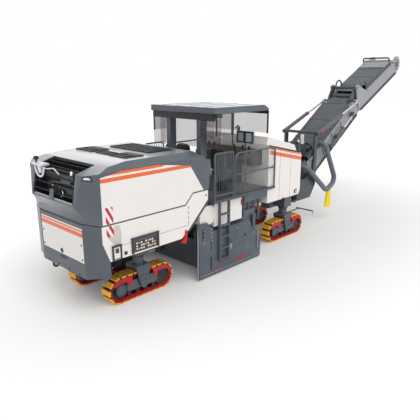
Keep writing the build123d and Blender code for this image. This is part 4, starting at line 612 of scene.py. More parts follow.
tail_bolts = [(TAIL_X, y, z, 0, -pi / 2, 0) for y, z in spots]
repeated("tail_bolts", bolt_shape(0.024, 0.012), tail_bolts, BLACK_METAL, "chassis")


# Engine bay. A plain engine block and the cooler behind the rear grille, with pipes, a filter and a header tank.
# Dark metal with a few bright fittings that show between the slats.
def finned(tree):
    """Fine upright fins of a cooler."""
    wave = tree.nodes.new("ShaderNodeTexWave")
    wave.bands_direction = "Y"
    wave.inputs["Scale"].default_value = 22.0
    tree.links.new(tree.nodes.new("ShaderNodeTexCoord").outputs["Object"], wave.inputs["Vector"])
    return blend_colours(tree, wave.outputs["Fac"], screen_colour(5, 5, 6), screen_colour(20, 21, 23))


coat(finish("cooler_fins", finned, 0.6, dust=0.0), "cooler")
MACHINERY = finish("machinery", (48, 51, 56), 0.45, dust=0.05)
coat(MACHINERY, "engine_block")
pipes = bmesh.new()
tube_into(pipes, [(-1.29, -0.62, 2.60), (-1.31, -0.3, 2.62), (-1.31, 0.15, 2.60), (-1.29, 0.45, 2.52)], 0.028)
tube_into(pipes, [(-1.29, -0.5, 2.3), (-1.30, -0.45, 2.45), (-1.29, -0.2, 2.5), (-1.27, 0.1, 2.5)], 0.022)
box_into(pipes, -1.33, -1.25, -0.46, -0.10, 2.60, 2.74)
box_into(pipes, -1.33, -1.25, -0.52, -0.28, 2.42, 2.52)
tube_into(pipes, [(-1.26, 0.5, 2.72), (-1.26, -0.5, 2.72)], 0.05, 16)
piece("cooler_pipes", pipes, finish("bay_grey", (84, 88, 96), 0.4), "chassis", 0.006)
fittings = bmesh.new()
for y, z in ((-0.12, 2.55), (0.12, 2.56), (0.20, 2.53), (-0.20, 2.46), (-0.14, 2.38), (-0.1, 2.34), (-0.55, 2.72)):
    tube_into(fittings, [(-1.345, y, z), (-1.30, y, z)], 0.022, 8)
tube_into(fittings, [(-1.34, -0.10, 2.34), (-1.34, -0.20, 2.37), (-1.34, -0.16, 2.46)], 0.014, 8)
piece("cooler_fittings", fittings, BRIGHT_STEEL, "chassis")


# Engine hood. Glossy grey shell that tilts up about hinges in front of it, with white sides, two orange stripes,
# a slatted black mouth at the rear and black louvres on its roof.
# Roof paint: grey with a strong painted pale sheen on its level top, a painted reflection of the white surround.
ROOF_PAINT_AND_SHEEN = finish("roof_paint_and_sheen", PAINT_GREY, 0.3, dust=0.02, coat=0.3, painted_sheen=0.95, painted_sheen_colour=(236, 238, 242))
rounded("hood_shell", ROOF_PAINT_AND_SHEEN, 0.014)
rounded("hood_side_panels",
        striped_paint("hood_stripes", [(2.745, 2.822, -2, 1.2, 0, 0), (2.862, 2.913, -1.07, 0.25, 0, 3.5)]),
        0.006)
coat(finish("grille_black", (14, 15, 16), 0.55, dust=0.1, dust_colour=(70, 70, 68)), "hood_grille")
coat(BLACK_METAL, "roof_grilles")
HATCH_FOOT, HATCH_TOP, RIB_FOOT, RIB_TOP, RIB_PITCH, RIB_HALF = 3.055, 3.082, 3.058, 3.078, 0.16, 0.008
fields = bmesh.new()
for x0, x1, y0, y1 in ((-0.10, 0.08, 0.36, 0.92), (-0.10, 0.07, -0.85, -0.37)):
    box_into(fields, x0, x1, y0, y1, HATCH_FOOT, HATCH_TOP)
piece("roof_hatches", fields, BLACK_METAL, "hood", 0.006)
ribs = bmesh.new()
for x0, x1, y0, y1 in ((0.41, 0.99, -0.67, 0.67), (-0.31, -0.12, 0.36, 0.92), (-0.30, -0.12, -0.26, 0.17),
                       (-0.33, -0.12, -0.85, -0.37)):
    count = max(2, round((y1 - y0) / RIB_PITCH))
    for k in range(1, count):
        y = y0 + k * (y1 - y0) / count
        box_into(ribs, x0, x1, y - RIB_HALF, y + RIB_HALF, RIB_FOOT, RIB_TOP)
piece("roof_grille_ribs", ribs, GREY_PAINT_AND_SHEEN, "hood")

# Fittings at the hood's rear: a work lamp on an arm at the upper left, the latch plate at the middle of the mouth,
# and a lamp let into each angled corner.
LAMP_METAL = finish("lamp_metal", (226, 227, 230), 0.3, dust=0.02, metal=0.35)
LAMP_Y, LAMP_Z, LOOP_HALF, LOOP_DROP, MOUTH_BAR_Y = 0.48, 2.905, 0.175, 0.21, 0.775
lamp = bmesh.new()
box_into(lamp, -1.50, -1.33, LAMP_Y - 0.20, LAMP_Y + 0.22, LAMP_Z, LAMP_Z + 0.04)
box_into(lamp, -1.40, -1.355, LAMP_Y + 0.18, MOUTH_BAR_Y + 0.01, LAMP_Z - 0.05, LAMP_Z + 0.01)
turns = [pi + a * pi / 14 for a in range(15)]
tube_into(lamp, [(-1.44, LAMP_Y + LOOP_HALF * cos(a), LAMP_Z - 0.02 + LOOP_DROP * sin(a)) for a in turns], 0.024)
tube_into(lamp, [(-1.43, LAMP_Y, LAMP_Z), (-1.43, LAMP_Y - 0.02, 2.82), (-1.43, LAMP_Y - 0.02, 2.75)],
          [0.055, 0.055, 0.035], 16)
tube_into(lamp, [(-1.43, LAMP_Y - 0.15, 2.86), (-1.42, 0.18, 2.86), (-1.40, 0.0, 2.89), (-1.39, -0.18, 2.80)],
          0.012, 8)
tube_into(lamp, [(-1.365, -0.60, 2.90), (-1.385, -0.62, 2.83)], 0.024, 12)
piece("work_lamp", lamp, LAMP_METAL, "hood", 0.003)
knob = bmesh.new()
tube_into(knob, [(-1.42, LAMP_Y + 0.16, z) for z in (2.93, 2.985, 3.0, 3.055, 3.065)],
          [0.018, 0.018, 0.05, 0.05, 0.024], 16)
piece("work_lamp_knob", knob, BLACK_METAL, "hood")
latch = bmesh.new()
prism_into(latch, [(-1.515, 2.285), (-1.475, 2.50), (-1.455, 2.50), (-1.495, 2.285)], -0.07, 0.07)
piece("mouth_latch", latch, GREY_PAINT_AND_SHEEN, "hood", 0.006)
mouth = bmesh.new()
for y in (-MOUTH_BAR_Y, MOUTH_BAR_Y):
    prism_into(mouth, [(-1.497, 2.30), (-1.378, 2.872), (-1.36, 2.866), (-1.479, 2.298)], y - 0.012, y + 0.012)
piece("mouth_bars", mouth, BLACK_METAL, "hood")
for side, label in ((-1, "right"), (1, "left")):
    along = Vector((-0.28, -side * 0.45, 0)).normalized()
    outward = Vector((-0.45, side * 0.28, 0)).normalized()
    middle = Vector((-1.31, side * 1.106, 2.83)) + along * 0.05
    for part, look, slot, grow, tall, proud in (("frame", BLACK_METAL, "black_metal", 1.0, 1.0, 0.006),
                                                ("lens", LAMP_METAL, "glass", 0.66, 0.45, 0.010)):
        outline = [middle + along * (u * grow) + Vector((0, 0, v * tall))
                   for u, v in ((-0.115, -0.045), (0.115, -0.045), (0.075, 0.045), (-0.075, 0.045))]
        corner_lamp = bmesh.new()
        plate_between(corner_lamp, [at + outward * proud for at in outline], [at - outward * 0.006 for at in outline])
        piece(f"corner_lamp_{part}_{label}", corner_lamp, look, "hood")


# Lower side panels. White sheet below the hood, with a long seam, a row of hinges, a dark guide along the sloping
# front edge and a red lashing hook; the ground controls and the marker plates are fixed to them.
SIDE_Y, BOX_Y, SUNK = 1.25, 1.27, 0.004
rounded("lower_side_panels", WHITE_PAINT, 0.006)


def side_box(bm, side, x0, x1, inner, outer, z0, z1):
    """Box on one side of the machine, between two distances from its middle."""
    box_into(bm, x0, x1, *sorted((side * inner, side * outer)), z0, z1)


def side_plate(bm, side, outline, inner, outer):
    """Upright plate on one side of the machine, by its outline in the side view."""
    prism_into(bm, outline, *sorted((side * inner, side * outer)))


def skin_box(bm, side, x0, x1, z0, z1, proud, y=SIDE_Y):
    """Thin plate lying on an upright side."""
    side_box(bm, side, x0, x1, y - SUNK, y + proud, z0, z1)


FIN_GUIDE = [(0.95, 1.375), (1.572, 1.962), (1.605, 1.905), (0.985, 1.315)]
# Outline of the shallow recessed scoop behind each marker plate, where a darker-white sheet paints its shade.
SCOOP = [(-1.10, 1.70), (-0.98, 1.90), (-0.88, 1.91), (-0.82, 1.88), (-0.79, 1.72), (-0.80, 1.58), (-0.87, 1.47),
         (-0.93, 1.50)]
HOOK = [(0.855, 1.40), (0.905, 1.39), (0.92, 1.30), (0.90, 1.13), (0.86, 1.08), (0.76, 1.12), (0.755, 1.165),
        (0.82, 1.20), (0.84, 1.32)]
lines, guides, scoop_shades, hooks = bmesh.new(), bmesh.new(), bmesh.new(), bmesh.new()
for side in (-1, 1):
    skin_box(lines, side, -0.80, 0.985, 1.482, 1.488, 0.0015)
    for z in (1.55, 1.66, 1.77, 1.88):
        skin_box(lines, side, 0.958, 0.970, z - 0.03, z + 0.03, 0.004)
    skin_box(lines, side, -0.75, -0.68, 1.27, 1.34, 0.004)
    skin_box(lines, side, 1.482, 1.518, 2.04, 2.08, 0.004)
    side_plate(guides, side, FIN_GUIDE, 1.203, 1.248)
    side_plate(scoop_shades, side, SCOOP, 1.246, 1.2515)
    side_plate(hooks, side, HOOK, 1.20, 1.262)
piece("panel_seams", lines, BLACK_METAL, "chassis")
piece("fin_guides", guides, DARK_PAINT, "chassis", 0.006)
# Painted shade: a thin darker-white sheet, standing slightly proud, shows the soft shade inside the recessed scoop.
SCOOP_PAINTED_SHADE = finish("scoop_painted_shade", (205, 199, 192), 0.4, dust=0.03, cloud=0.1)
piece("panel_scoops", scoop_shades, SCOOP_PAINTED_SHADE, "chassis", 0.001)
piece("lashing_hooks", hooks, LINK_RED, "chassis", 0.004)

coat(GREY_PAINT_AND_SHEEN, "control_boxes")
boards, lids = bmesh.new(), bmesh.new()
for side in (-1, 1):
    skin_box(boards, side, -0.51, 0.04, 1.28, 1.485, 0.003, BOX_Y)
    skin_box(boards, side, -0.965, -0.885, 1.365, 1.46, 0.007, BOX_Y)
    for outline in ([(-0.58, 1.52), (0.10, 1.52), (0.115, 1.57), (-0.595, 1.57)],
                    [(-0.58, 1.24), (-0.535, 1.27), (-0.535, 1.53), (-0.58, 1.53)],
                    [(0.055, 1.27), (0.10, 1.24), (0.10, 1.53), (0.055, 1.53)],
                    [(-1.03, 1.49), (-0.82, 1.49), (-0.82, 1.53), (-1.03, 1.53)],
                    [(-1.03, 1.235), (-1.0, 1.235), (-1.0, 1.51), (-1.03, 1.51)],
                    [(-0.85, 1.235), (-0.82, 1.235), (-0.82, 1.51), (-0.85, 1.51)]):
        side_plate(lids, side, outline, 1.255, 1.288)
piece("control_boards", boards, finish("board_grey", (58, 62, 69), 0.5), "chassis", 0.002)
piece("control_rims", lids, DARK_PAINT, "chassis", 0.006)
BUTTON_WHITE = finish("button_white", (232, 230, 226), 0.35)
BUTTON_ORANGE = finish("button_orange", (240, 150, 40), 0.35)
for label, look, keep in (("white", BUTTON_WHITE, (0, 2, 3, 5, 6, 8)), ("orange", BUTTON_ORANGE, (1, 7)),
                          ("black", BLACK_METAL, (4, 9))):
    button = bmesh.new()
    tube_into(button, [(0, 0, 0), (0, 0, 0.008), (0, 0, 0.013)], [0.02, 0.02, 0.014], 12)
    spots = [(-0.46 + 0.0555 * k, side * (BOX_Y + 0.003), 1.322 + 0.06 * row, -side * pi / 2, 0, 0)
             for side in (-1, 1) for row in range(3) for k in range(9) if (k + 3 * row) % 10 in keep]
    repeated(f"control_buttons_{label}", button, spots, look, "chassis")
faces = bmesh.new()
for side in (-1, 1):
    skin_box(faces, side, -0.995, -0.855, 1.26, 1.485, 0.004, BOX_Y)
    skin_box(faces, side, -0.53, 0.05, 1.235, 1.262, 0.016, BOX_Y)
piece("small_box_lenses", faces, BUTTON_WHITE, "chassis", 0.003)


MARKER_WHITE, MARKER_RED, STRIPE_SLOPE, STRIPES_PER_METRE = (240, 238, 236), (196, 26, 46), 1.9, 4.1


def marker_stripes(tree):
    """Red and white slanting stripes of a marker plate."""
    x, _, z = surface_place(tree)
    slant = math_node(tree, "ADD", z, math_node(tree, "MULTIPLY", x, STRIPE_SLOPE))
    turn = math_node(tree, "FRACT", math_node(tree, "MULTIPLY", slant, STRIPES_PER_METRE))
    return blend_colours(tree, math_node(tree, "GREATER_THAN", turn, 0.5), screen_colour(*MARKER_WHITE),
                         screen_colour(*MARKER_RED))


MARKER = finish("marker_plate", marker_stripes, 0.35, dust=0.02, cloud=0.02)
for label, body, z0, z1 in (("upper", "hood", 1.965, 2.28), ("lower", "chassis", 1.71, 1.925)):
    plates = bmesh.new()
    for side in (-1, 1):
        skin_box(plates, side, -1.12, -0.96, z0, z1, 0.004)
    piece(f"marker_plates_{label}", plates, MARKER, body, 0.002)


# Milling gear. The drum with its picks in holders, the scraper blade behind it, and the side plates that ride on
# the road, with bolted wear strips, dark slots and a framed door.
DRUM_X, DRUM_Z, DRUM_HALF, DRUM_RADIUS, SHAFT_HALF, SHAFT_RADIUS = 2.5, 0.6, 1.0, 0.42, 1.05, 0.119
TOOL_ROWS, TOOLS_IN_ROW, ROWS_HALF, ROW_TURN = 30, 4, 0.955, radians(17)
TOOL_STEEL = finish("tool_steel", (112, 108, 104), 0.5, dust=0.1, metal=0.6, grain=60, relief=0.2)
PLATE_PAINT = finish("plate_paint", (78, 86, 96), 0.45, dust=0.05, cloud=0.1, coat=0.05)
core = bmesh.new()
tube_into(core, [(DRUM_X, -DRUM_HALF, DRUM_Z), (DRUM_X, DRUM_HALF, DRUM_Z)], DRUM_RADIUS, 56)
tube_into(core, [(DRUM_X, -SHAFT_HALF, DRUM_Z), (DRUM_X, SHAFT_HALF, DRUM_Z)], SHAFT_RADIUS, 32)
piece("drum_core", core, PLATE_PAINT, "drum", 0.004, ("milling_drum",))
holder, pick = bmesh.new(), bmesh.new()
box_into(holder, 0.40, 0.465, -0.03, 0.03, -0.05, 0.055)
tube_into(pick, [(0.44, 0, 0.02), (0.468, 0, 0.045), (0.485, 0, 0.058), (0.503, 0, 0.074)],
          [0.022, 0.022, 0.012, 0.003], 8)
tool_places = []
for k in range(TOOL_ROWS):
    from_middle = k - (TOOL_ROWS - 1) / 2
    y = from_middle * 2 * ROWS_HALF / (TOOL_ROWS - 1)
    for tool in range(TOOLS_IN_ROW):
        turn = abs(from_middle) * ROW_TURN + tool * 2 * pi / TOOLS_IN_ROW
        tool_places.append((DRUM_X, y, DRUM_Z, 0, turn, 0))
repeated("drum_holders", chamfered(holder, 0.008), tool_places, TOOL_STEEL, "drum")
repeated("drum_picks", pick, tool_places, BRIGHT_STEEL, "drum")
rounded("scraper", PLATE_PAINT, 0.006)

PLATE_Y, TRIM_IN, TRIM_OUT = 1.19, 1.185, 1.2
REAR_MARK = [(1.92, 0.15), (1.92, 0.23), (1.94, 0.23), (1.95, 0.19), (2.0, 0.19), (2.0, 0.22), (2.02, 0.22),
             (2.02, 0.18), (2.10, 0.19), (2.10, 0.165), (1.95, 0.15)]
FRONT_MARK = [(2.60, 0.16), (2.60, 0.185), (2.72, 0.20), (2.84, 0.23), (2.93, 0.30), (2.95, 0.30), (2.95, 0.19),
              (2.88, 0.185)]
BOLT_STEEL = finish("bolt_steel", (150, 153, 158), 0.35, dust=0.1, metal=0.6)
for side, label in ((-1, "right"), (1, "left")):
    body, turn = "plate_" + label, -side * pi / 2
    rounded("side_plate_" + label, PLATE_PAINT, 0.006)
    strip = bmesh.new()
    skin_box(strip, side, 1.36, 3.60, 0.035, 0.135, 0.004, PLATE_Y)
    skin_box(strip, side, 1.34, 1.38, 0.05, 1.36, 0.006, PLATE_Y)
    for x0, x1, z0, z1 in ((2.62, 3.18, 0.60, 0.612), (2.62, 3.18, 1.06, 1.072), (2.62, 2.632, 0.60, 1.07),
                           (3.168, 3.18, 0.60, 1.07)):
        skin_box(strip, side, x0, x1, z0, z1, 0.006, PLATE_Y)
    side_box(strip, side, 1.86, 2.42, TRIM_IN, TRIM_OUT, 0.42, 0.435)
    piece(f"plate_trim_{label}", strip, PLATE_PAINT, body, 0.003)
    bolts = [(1.42 + 0.074 * k, side * (PLATE_Y + 0.003), 0.10, turn, 0, 0) for k in range(29)]
    bolts += [(x, side * PLATE_Y, z, turn, 0, 0) for x in (1.5, 1.75) for z in (0.9, 1.0, 1.1, 1.2)]
    bolts += [(x, side * PLATE_Y, z, turn, 0, 0) for x in (2.66, 3.14) for z in (0.65, 1.02)]
    repeated(f"plate_bolts_{label}", bolt_shape(0.03, 0.009), bolts, BOLT_STEEL, body)
    slots = bmesh.new()
    for x0, x1, z0, z1 in ((1.44, 1.50, 0.98, 1.25), (1.71, 1.76, 0.18, 0.50), (1.72, 1.75, 0.66, 0.90),
                           (2.95, 3.02, 0.72, 0.79), (2.40, 2.43, 0.50, 0.78), (2.06, 2.36, 0.30, 0.315)):
        skin_box(slots, side, x0, x1, z0, z1, 0.003, PLATE_Y)
    piece(f"plate_slots_{label}", slots, BLACK_METAL, body)
    marks = bmesh.new()
    for outline in (REAR_MARK, FRONT_MARK):
        side_plate(marks, side, outline, TRIM_IN, TRIM_OUT)
    piece(f"plate_brackets_{label}", marks, LINK_RED, body, 0.003)
    gauge = bmesh.new()
    tube_into(gauge, [(2.39, side * (TRIM_IN + depth), 0.60) for depth in (0.0, 0.02, 0.022, 0.022, 0.028, 0.03)],
              [0.08, 0.08, 0.072, 0.03, 0.03, 0.02], 28)
    tube_into(gauge, [(1.318, side * 1.172, 0.06), (1.318, side * 1.172, 1.36)], 0.018, 12)
    tube_into(gauge, [(3.47, side * 1.205, 0.30), (3.47, side * 1.205, 0.74)], 0.018, 12)
    for z in (0.32, 0.72):
        side_box(gauge, side, 3.44, 3.50, TRIM_IN, 1.225, z - 0.02, z + 0.02)
    piece(f"plate_gauge_{label}", gauge, BOLT_STEEL, body, 0.003)


# Front body. White water tank over the front legs, with stripes that follow its sloping top, panel seams, a lamp
# and a red latch; white side tanks under the platform, and lamp posts with mirrors at the front corners.
TANK_STRIPES = [(3.694, 3.728, 3.9, 6.0, -0.22, 0), (3.545, 3.645, 3.9, 6.0, -0.22, 0)]
rounded("front_tank", striped_paint("tank_stripes", TANK_STRIPES), 0.012)
rounded("side_tanks", WHITE_PAINT, 0.012)
rounded("front_lamps", GREY_PAINT_AND_SHEEN, 0.010)
TANK_Y, SIDE_TANK_Y, LAMP_POST_Y, DECK_FOOT = 1.2, 1.13, 1.10, 1.79
seams, tank_lamps, lenses, latches = bmesh.new(), bmesh.new(), bmesh.new(), bmesh.new()
mirrors, mirror_faces, legs = bmesh.new(), bmesh.new(), bmesh.new()
for side in (-1, 1):
    for x in (4.36, 4.86):
        skin_box(seams, side, x - 0.003, x + 0.003, 1.42, 2.72 - 0.19 * (x - 4.36), 0.0015, TANK_Y)
    side_plate(seams, side, [(3.86, 2.888), (5.25, 2.58), (5.25, 2.622), (3.86, 2.93)], 1.19, 1.212)
    skin_box(tank_lamps, side, 5.08, 5.20, 1.47, 1.57, 0.02, TANK_Y)
    tube_into(lenses, [(5.14, side * y, 1.52) for y in (1.215, 1.228, 1.232)], [0.035, 0.035, 0.02], 16)
    tube_into(lenses, [(x, side * LAMP_POST_Y, 2.89) for x in (5.36, 5.332)], [0.045, 0.04], 20)
    skin_box(latches, side, 4.50, 4.62, 1.405, 1.43, 0.02, TANK_Y)
    skin_box(latches, side, 2.86, 2.89, 1.55, 1.68, 0.02, SIDE_TANK_Y)
    tube_into(mirrors, [(5.395, side * LAMP_POST_Y, 2.93), (5.395, side * LAMP_POST_Y, 3.12), (5.38, side * 1.15, 3.16),
                        (5.37, side * 1.21, 3.10)], 0.026, 12)
    side_box(mirrors, side, 5.355, 5.40, 1.13, 1.27, 2.80, 3.10)
    side_box(mirror_faces, side, 5.347, 5.358, 1.142, 1.258, 2.815, 3.085)
    for x in (3.05, 3.25, 3.45):
        tube_into(legs, [(x, side * 1.0, 1.05), (x + 0.05, side * 1.02, 1.4), (x, side * 1.0, DECK_FOOT)], 0.028, 10)
    side_box(legs, side, 3.05, 3.5, 0.92, 1.06, 1.18, 1.34)
    tube_into(legs, [(3.66, side * 1.05, 1.0), (3.66, side * 1.05, DECK_FOOT)], 0.03, 12)
    side_box(legs, side, 2.92, 3.84, 1.14, 1.195, 1.60, DECK_FOOT)
piece("tank_seams", seams, BLACK_METAL, "chassis")
piece("tank_lamps", tank_lamps, BLACK_METAL, "chassis", 0.008)
piece("lamp_lenses", lenses, BUTTON_WHITE, "chassis")
piece("tank_latches", latches, LINK_RED, "chassis", 0.004)
piece("mirror_arms", mirrors, DARK_PAINT, "chassis", 0.008)
piece("mirror_faces", mirror_faces, LAMP_METAL, "chassis", 0.003)
piece("platform_supports", legs, GREY_PAINT_AND_SHEEN, "chassis", 0.006)


# Operator's platform. Rough grey deck, bent hand rails with clear sheets, barred gates over the ladders,
# a wide desk with levers and framed displays.
STUDDED = finish("studded_deck", (74, 80, 88), 0.55, dust=0.12, grain=45, relief=0.6)
coat(STUDDED, "platform")
coat(GREY_PAINT_AND_SHEEN, "railings", "ladders", "displays")
CONSOLE_PLASTIC = finish("console_plastic", (46, 49, 54), 0.5, dust=0.08, grain=420, relief=0.15)
rounded("console", CONSOLE_PLASTIC, 0.03)
LOWEST_TREAD, TREAD_PITCH, TREADS = 0.39, 0.28, 5
treads = bmesh.new()
for side in (-1, 1):
    for k in range(TREADS):
        z = LOWEST_TREAD + TREAD_PITCH * k
        side_box(treads, side, 1.985, 2.265, 1.207, 1.273, z, z + 0.006)
piece("ladder_treads", treads, STUDDED, "chassis")


def clear_pane(name, colour, clearness, gloss):
    """Clear or tinted sheet."""
    made = finish(name, colour, gloss, dust=0.02, cloud=0.02, relief=0.005)
    shader = made.node_tree.nodes["Principled BSDF"]
    shader.inputs["Transmission Weight"].default_value = clearness
    shader.inputs["IOR"].default_value = 1.1
    return made


RAIL_SHEET = clear_pane("rail_sheet", (246, 246, 246), 0.97, -0.04)
sheets = bmesh.new()
for side in (-1, 1):
    side_box(sheets, side, 2.53, 4.04, 1.228, 1.233, 1.90, 2.83)
    side_box(sheets, side, 1.83, 2.40, 1.228, 1.233, 2.30, 2.90)
piece("rail_sheets", sheets, RAIL_SHEET, "chassis")
screens, frames = bmesh.new(), bmesh.new()
for y in (-1.125, -0.875):
    box_into(screens, 3.122, 3.131, y - 0.10, y + 0.10, 3.065, 3.295)
    for y0, y1, z0, z1 in ((y - 0.123, y - 0.098, 3.045, 3.315), (y + 0.098, y + 0.123, 3.045, 3.315),
                           (y - 0.123, y + 0.123, 3.29, 3.32), (y - 0.123, y + 0.123, 3.04, 3.07)):
        box_into(frames, 3.095, 3.135, y0, y1, z0, z1)
SCREEN = finish("display_screen", (176, 190, 196), 0.15, dust=0.0, cloud=0.4)
piece("display_screens", screens, SCREEN, "chassis", 0.003)
piece("display_frames", frames, BLACK_METAL, "chassis", 0.004)
LEVER_STEPS = ((0.0, 2.66, 0.012), (0.02, 2.81, 0.012), (0.02, 2.84, 0.03), (0.025, 2.91, 0.026))
levers, desk = bmesh.new(), bmesh.new()
for side in (-1, 1):
    for y, x in ((0.35, 3.5), (0.85, 3.5), (0.6, 3.55)):
        tube_into(levers, [(x - back, side * y, z) for back, z, _ in LEVER_STEPS],
                  [radius for _, _, radius in LEVER_STEPS], 12)
    side_box(levers, side, 3.42, 3.66, 0.45, 0.75, 2.675, 2.70)
    for k in range(6):
        y = side * (0.25 + 0.13 * k)
        for x, z, radius in ((3.60, 2.735, 0.016), (3.68, 2.765, 0.012)):
            tube_into(desk, [(x, y, z), (x, y, z + 0.02)], radius, 10)
piece("desk_levers", levers, BLACK_METAL, "chassis", 0.005)
piece("desk_buttons", desk, BUTTON_ORANGE, "chassis")

# Seats. Two dark seats side by side on steel pedestals.
# Each has a crowned pad and back, pulled in between the corners.
SEAT_COVER = finish("seat_cover", (40, 42, 46), 0.7, dust=0.05, grain=600, relief=0.35)


def cushion(name, low, high, crown):
    """A crowned pad whose sides pull in between its corners."""
    bm = bmesh.new()
    bmesh.ops.create_cube(bm, size=2.0)
    bmesh.ops.subdivide_edges(bm, edges=bm.edges[:], cuts=7, use_grid_fill=True)
    middle, half = (Vector(low) + Vector(high)) / 2, (Vector(high) - Vector(low)) / 2
    for vert in bm.verts:
        u = vert.co.copy()
        swell = [1.0 - crown * (1.0 - (1 - u[(k + 1) % 3] ** 4) * (1 - u[(k + 2) % 3] ** 4)) for k in range(3)]
        vert.co = Vector([middle[k] + half[k] * u[k] * swell[k] for k in range(3)])
    obj = piece(name, bm, SEAT_COVER, "chassis")
    smooth = obj.modifiers.new("smooth", "SUBSURF")
    smooth.levels = smooth.render_levels = 1


for side, label in ((-1, "right"), (1, "left")):
    y0, y1 = sorted((side * 0.38, side * 0.86))
    pedestal = bmesh.new()
    side_box(pedestal, side, 2.63, 2.83, 0.52, 0.72, 1.85, 2.262)
    box_into(pedestal, 2.52, 2.94, y0 + 0.03, y1 - 0.03, 2.24, 2.265)
    side_box(pedestal, side, 2.50, 2.52, 0.54, 0.70, 2.24, 2.80)
    seat = piece("seat_pedestal_" + label, pedestal, BLACK_METAL, "chassis", 0.008)
    if side > 0:
        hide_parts("seats")
    cushion("seat_pad_" + label, (2.53, y0, 2.262), (2.96, y1, 2.37), 0.14)
    cushion("seat_back_" + label, (2.52, y0, 2.38), (2.63, y1, 2.93), 0.14)


# Canopy. Glossy grey ribbed roof with its front edge rounded down, two grey posts, and tinted panes in black frames.
# Small tinted sheets close its rear corners.
# The canopy roof and its ribs take the roof paint with its painted sheen on level faces.
rounded("canopy_roof", ROOF_PAINT_AND_SHEEN, 0.03)
rounded("canopy_posts", GREY_PAINT_AND_SHEEN, 0.012)
TINTED_PANE = clear_pane("tinted_pane", (204, 201, 202), 0.95, -0.04)
coat(TINTED_PANE, "canopy_glass")
EAVES_Z, PANE_REACH = 3.78, 1.06
trim, corner_sheets = bmesh.new(), bmesh.new()
for side in (-1, 1):
    for x0, x1, foot in ((2.53, 2.60, 3.29), (2.0, 2.03, 3.29), (3.895, 3.935, 3.21)):
        side_box(trim, side, x0, x1, 1.066, 1.098, foot, EAVES_Z)
    tube_into(trim, [(2.56, side * 1.08, 3.30), (2.56, side * 1.12, 2.86)], 0.014, 10)
    side_box(corner_sheets, side, 1.976, 1.984, 0.61, PANE_REACH, 2.97 if side > 0 else 3.24, 3.65)
for x0, x1, foot in ((3.90, 3.935, 3.70), (2.19, 2.235, 3.69), (1.965, 2.0, 3.63)):
    box_into(trim, x0, x1, -PANE_REACH, PANE_REACH, foot, EAVES_Z)
piece("canopy_frames", trim, BLACK_METAL, "chassis", 0.004)
piece("canopy_corner_sheets", corner_sheets, TINTED_PANE, "chassis")
ridge = bmesh.new()
for y in (-0.72, -0.24, 0.24, 0.72):
    box_into(ridge, 2.02, 3.70, y - 0.02, y + 0.02, 3.928, 3.938)
piece("canopy_ribs", ridge, ROOF_PAINT_AND_SHEEN, "chassis", 0.003)


# Discharge conveyor. A slewing base with a mast carries a two-part boom: light grey side plates, dark covers over
# a plain rubber belt, and hydraulic cylinders that lift it.
SIDE_GREY, EAR_GREY, EARS_ABOVE, HOPPER_END = (150, 153, 159), (58, 64, 72), 0.553, 0.95
BOOM_GREY = finish("boom_grey", SIDE_GREY, 0.38, dust=0.05, coat=0.15)
COVER_PAINT = finish("cover_paint", (60, 67, 76), 0.4, dust=0.03, coat=0.1)
LOWER, UPPER = (6.3, 1.05, radians(32.9)), (9.9985, 3.4426, radians(25.5))


def lower_frame_colour(tree):
    """Light grey side plates; the fold's ears above them and the end at the hopper are dark."""
    foot_x, foot_z, angle = LOWER
    x, _, z = surface_place(tree)
    x, z = math_node(tree, "SUBTRACT", x, foot_x), math_node(tree, "SUBTRACT", z, foot_z)
    along = math_node(tree, "ADD", math_node(tree, "MULTIPLY", x, cos(angle)),
                      math_node(tree, "MULTIPLY", z, sin(angle)))
    above = math_node(tree, "SUBTRACT", math_node(tree, "MULTIPLY", z, cos(angle)),
                      math_node(tree, "MULTIPLY", x, sin(angle)))
    dark = math_node(tree, "MAXIMUM", math_node(tree, "GREATER_THAN", above, EARS_ABOVE),
                     math_node(tree, "LESS_THAN", along, HOPPER_END))
    return blend_colours(tree, dark, screen_colour(*SIDE_GREY), screen_colour(*EAR_GREY))


RUBBER = finish("belt_rubber", (30, 30, 31), 0.8, dust=0.3, grain=60, relief=0.4)
rounded("slew_frame", finish("slew_paint", (60, 66, 74), 0.42, coat=0.1), 0.010)
LOWER_PAINT = finish("lower_boom_paint", lower_frame_colour, 0.38, coat=0.15)
rounded("boom_lower_frame", LOWER_PAINT, 0.008)
rounded("boom_upper_frame", BOOM_GREY, 0.008)
rounded("boom_lower_cover", COVER_PAINT, 0.014)
rounded("boom_upper_cover", COVER_PAINT, 0.014)
coat(RUBBER, "loading_belt", "boom_lower_belt", "boom_upper_belt")
coat(GREY_PAINT_AND_SHEEN, "lift_barrels")
coat(BRIGHT_STEEL, "lift_rods")
coat(finish("duct_plastic", (96, 104, 114), 0.42, dust=0.08), "suction_duct")


def boom_point(boom, s, n, y=0.0):
    """Point along (s) and square to (n) a boom."""
    x, z, angle = boom
    return (x + s * cos(angle) - n * sin(angle), y, z + s * sin(angle) + n * cos(angle))


def boom_slab(bm, boom, s0, s1, y0, y1, n0, n1):
    """Plate or box lying along a boom."""
    outline = [boom_point(boom, s, n) for s, n in ((s0, n0), (s1, n0), (s1, n1), (s0, n1))]
    prism_into(bm, [(x, z) for x, _, z in outline], y0, y1)


def boom_side(bm, boom, side, s0, s1, inner, outer, n0, n1):
    """Plate or box on one side of a boom, between two distances from its middle."""
    boom_slab(bm, boom, s0, s1, *sorted((side * inner, side * outer)), n0, n1)


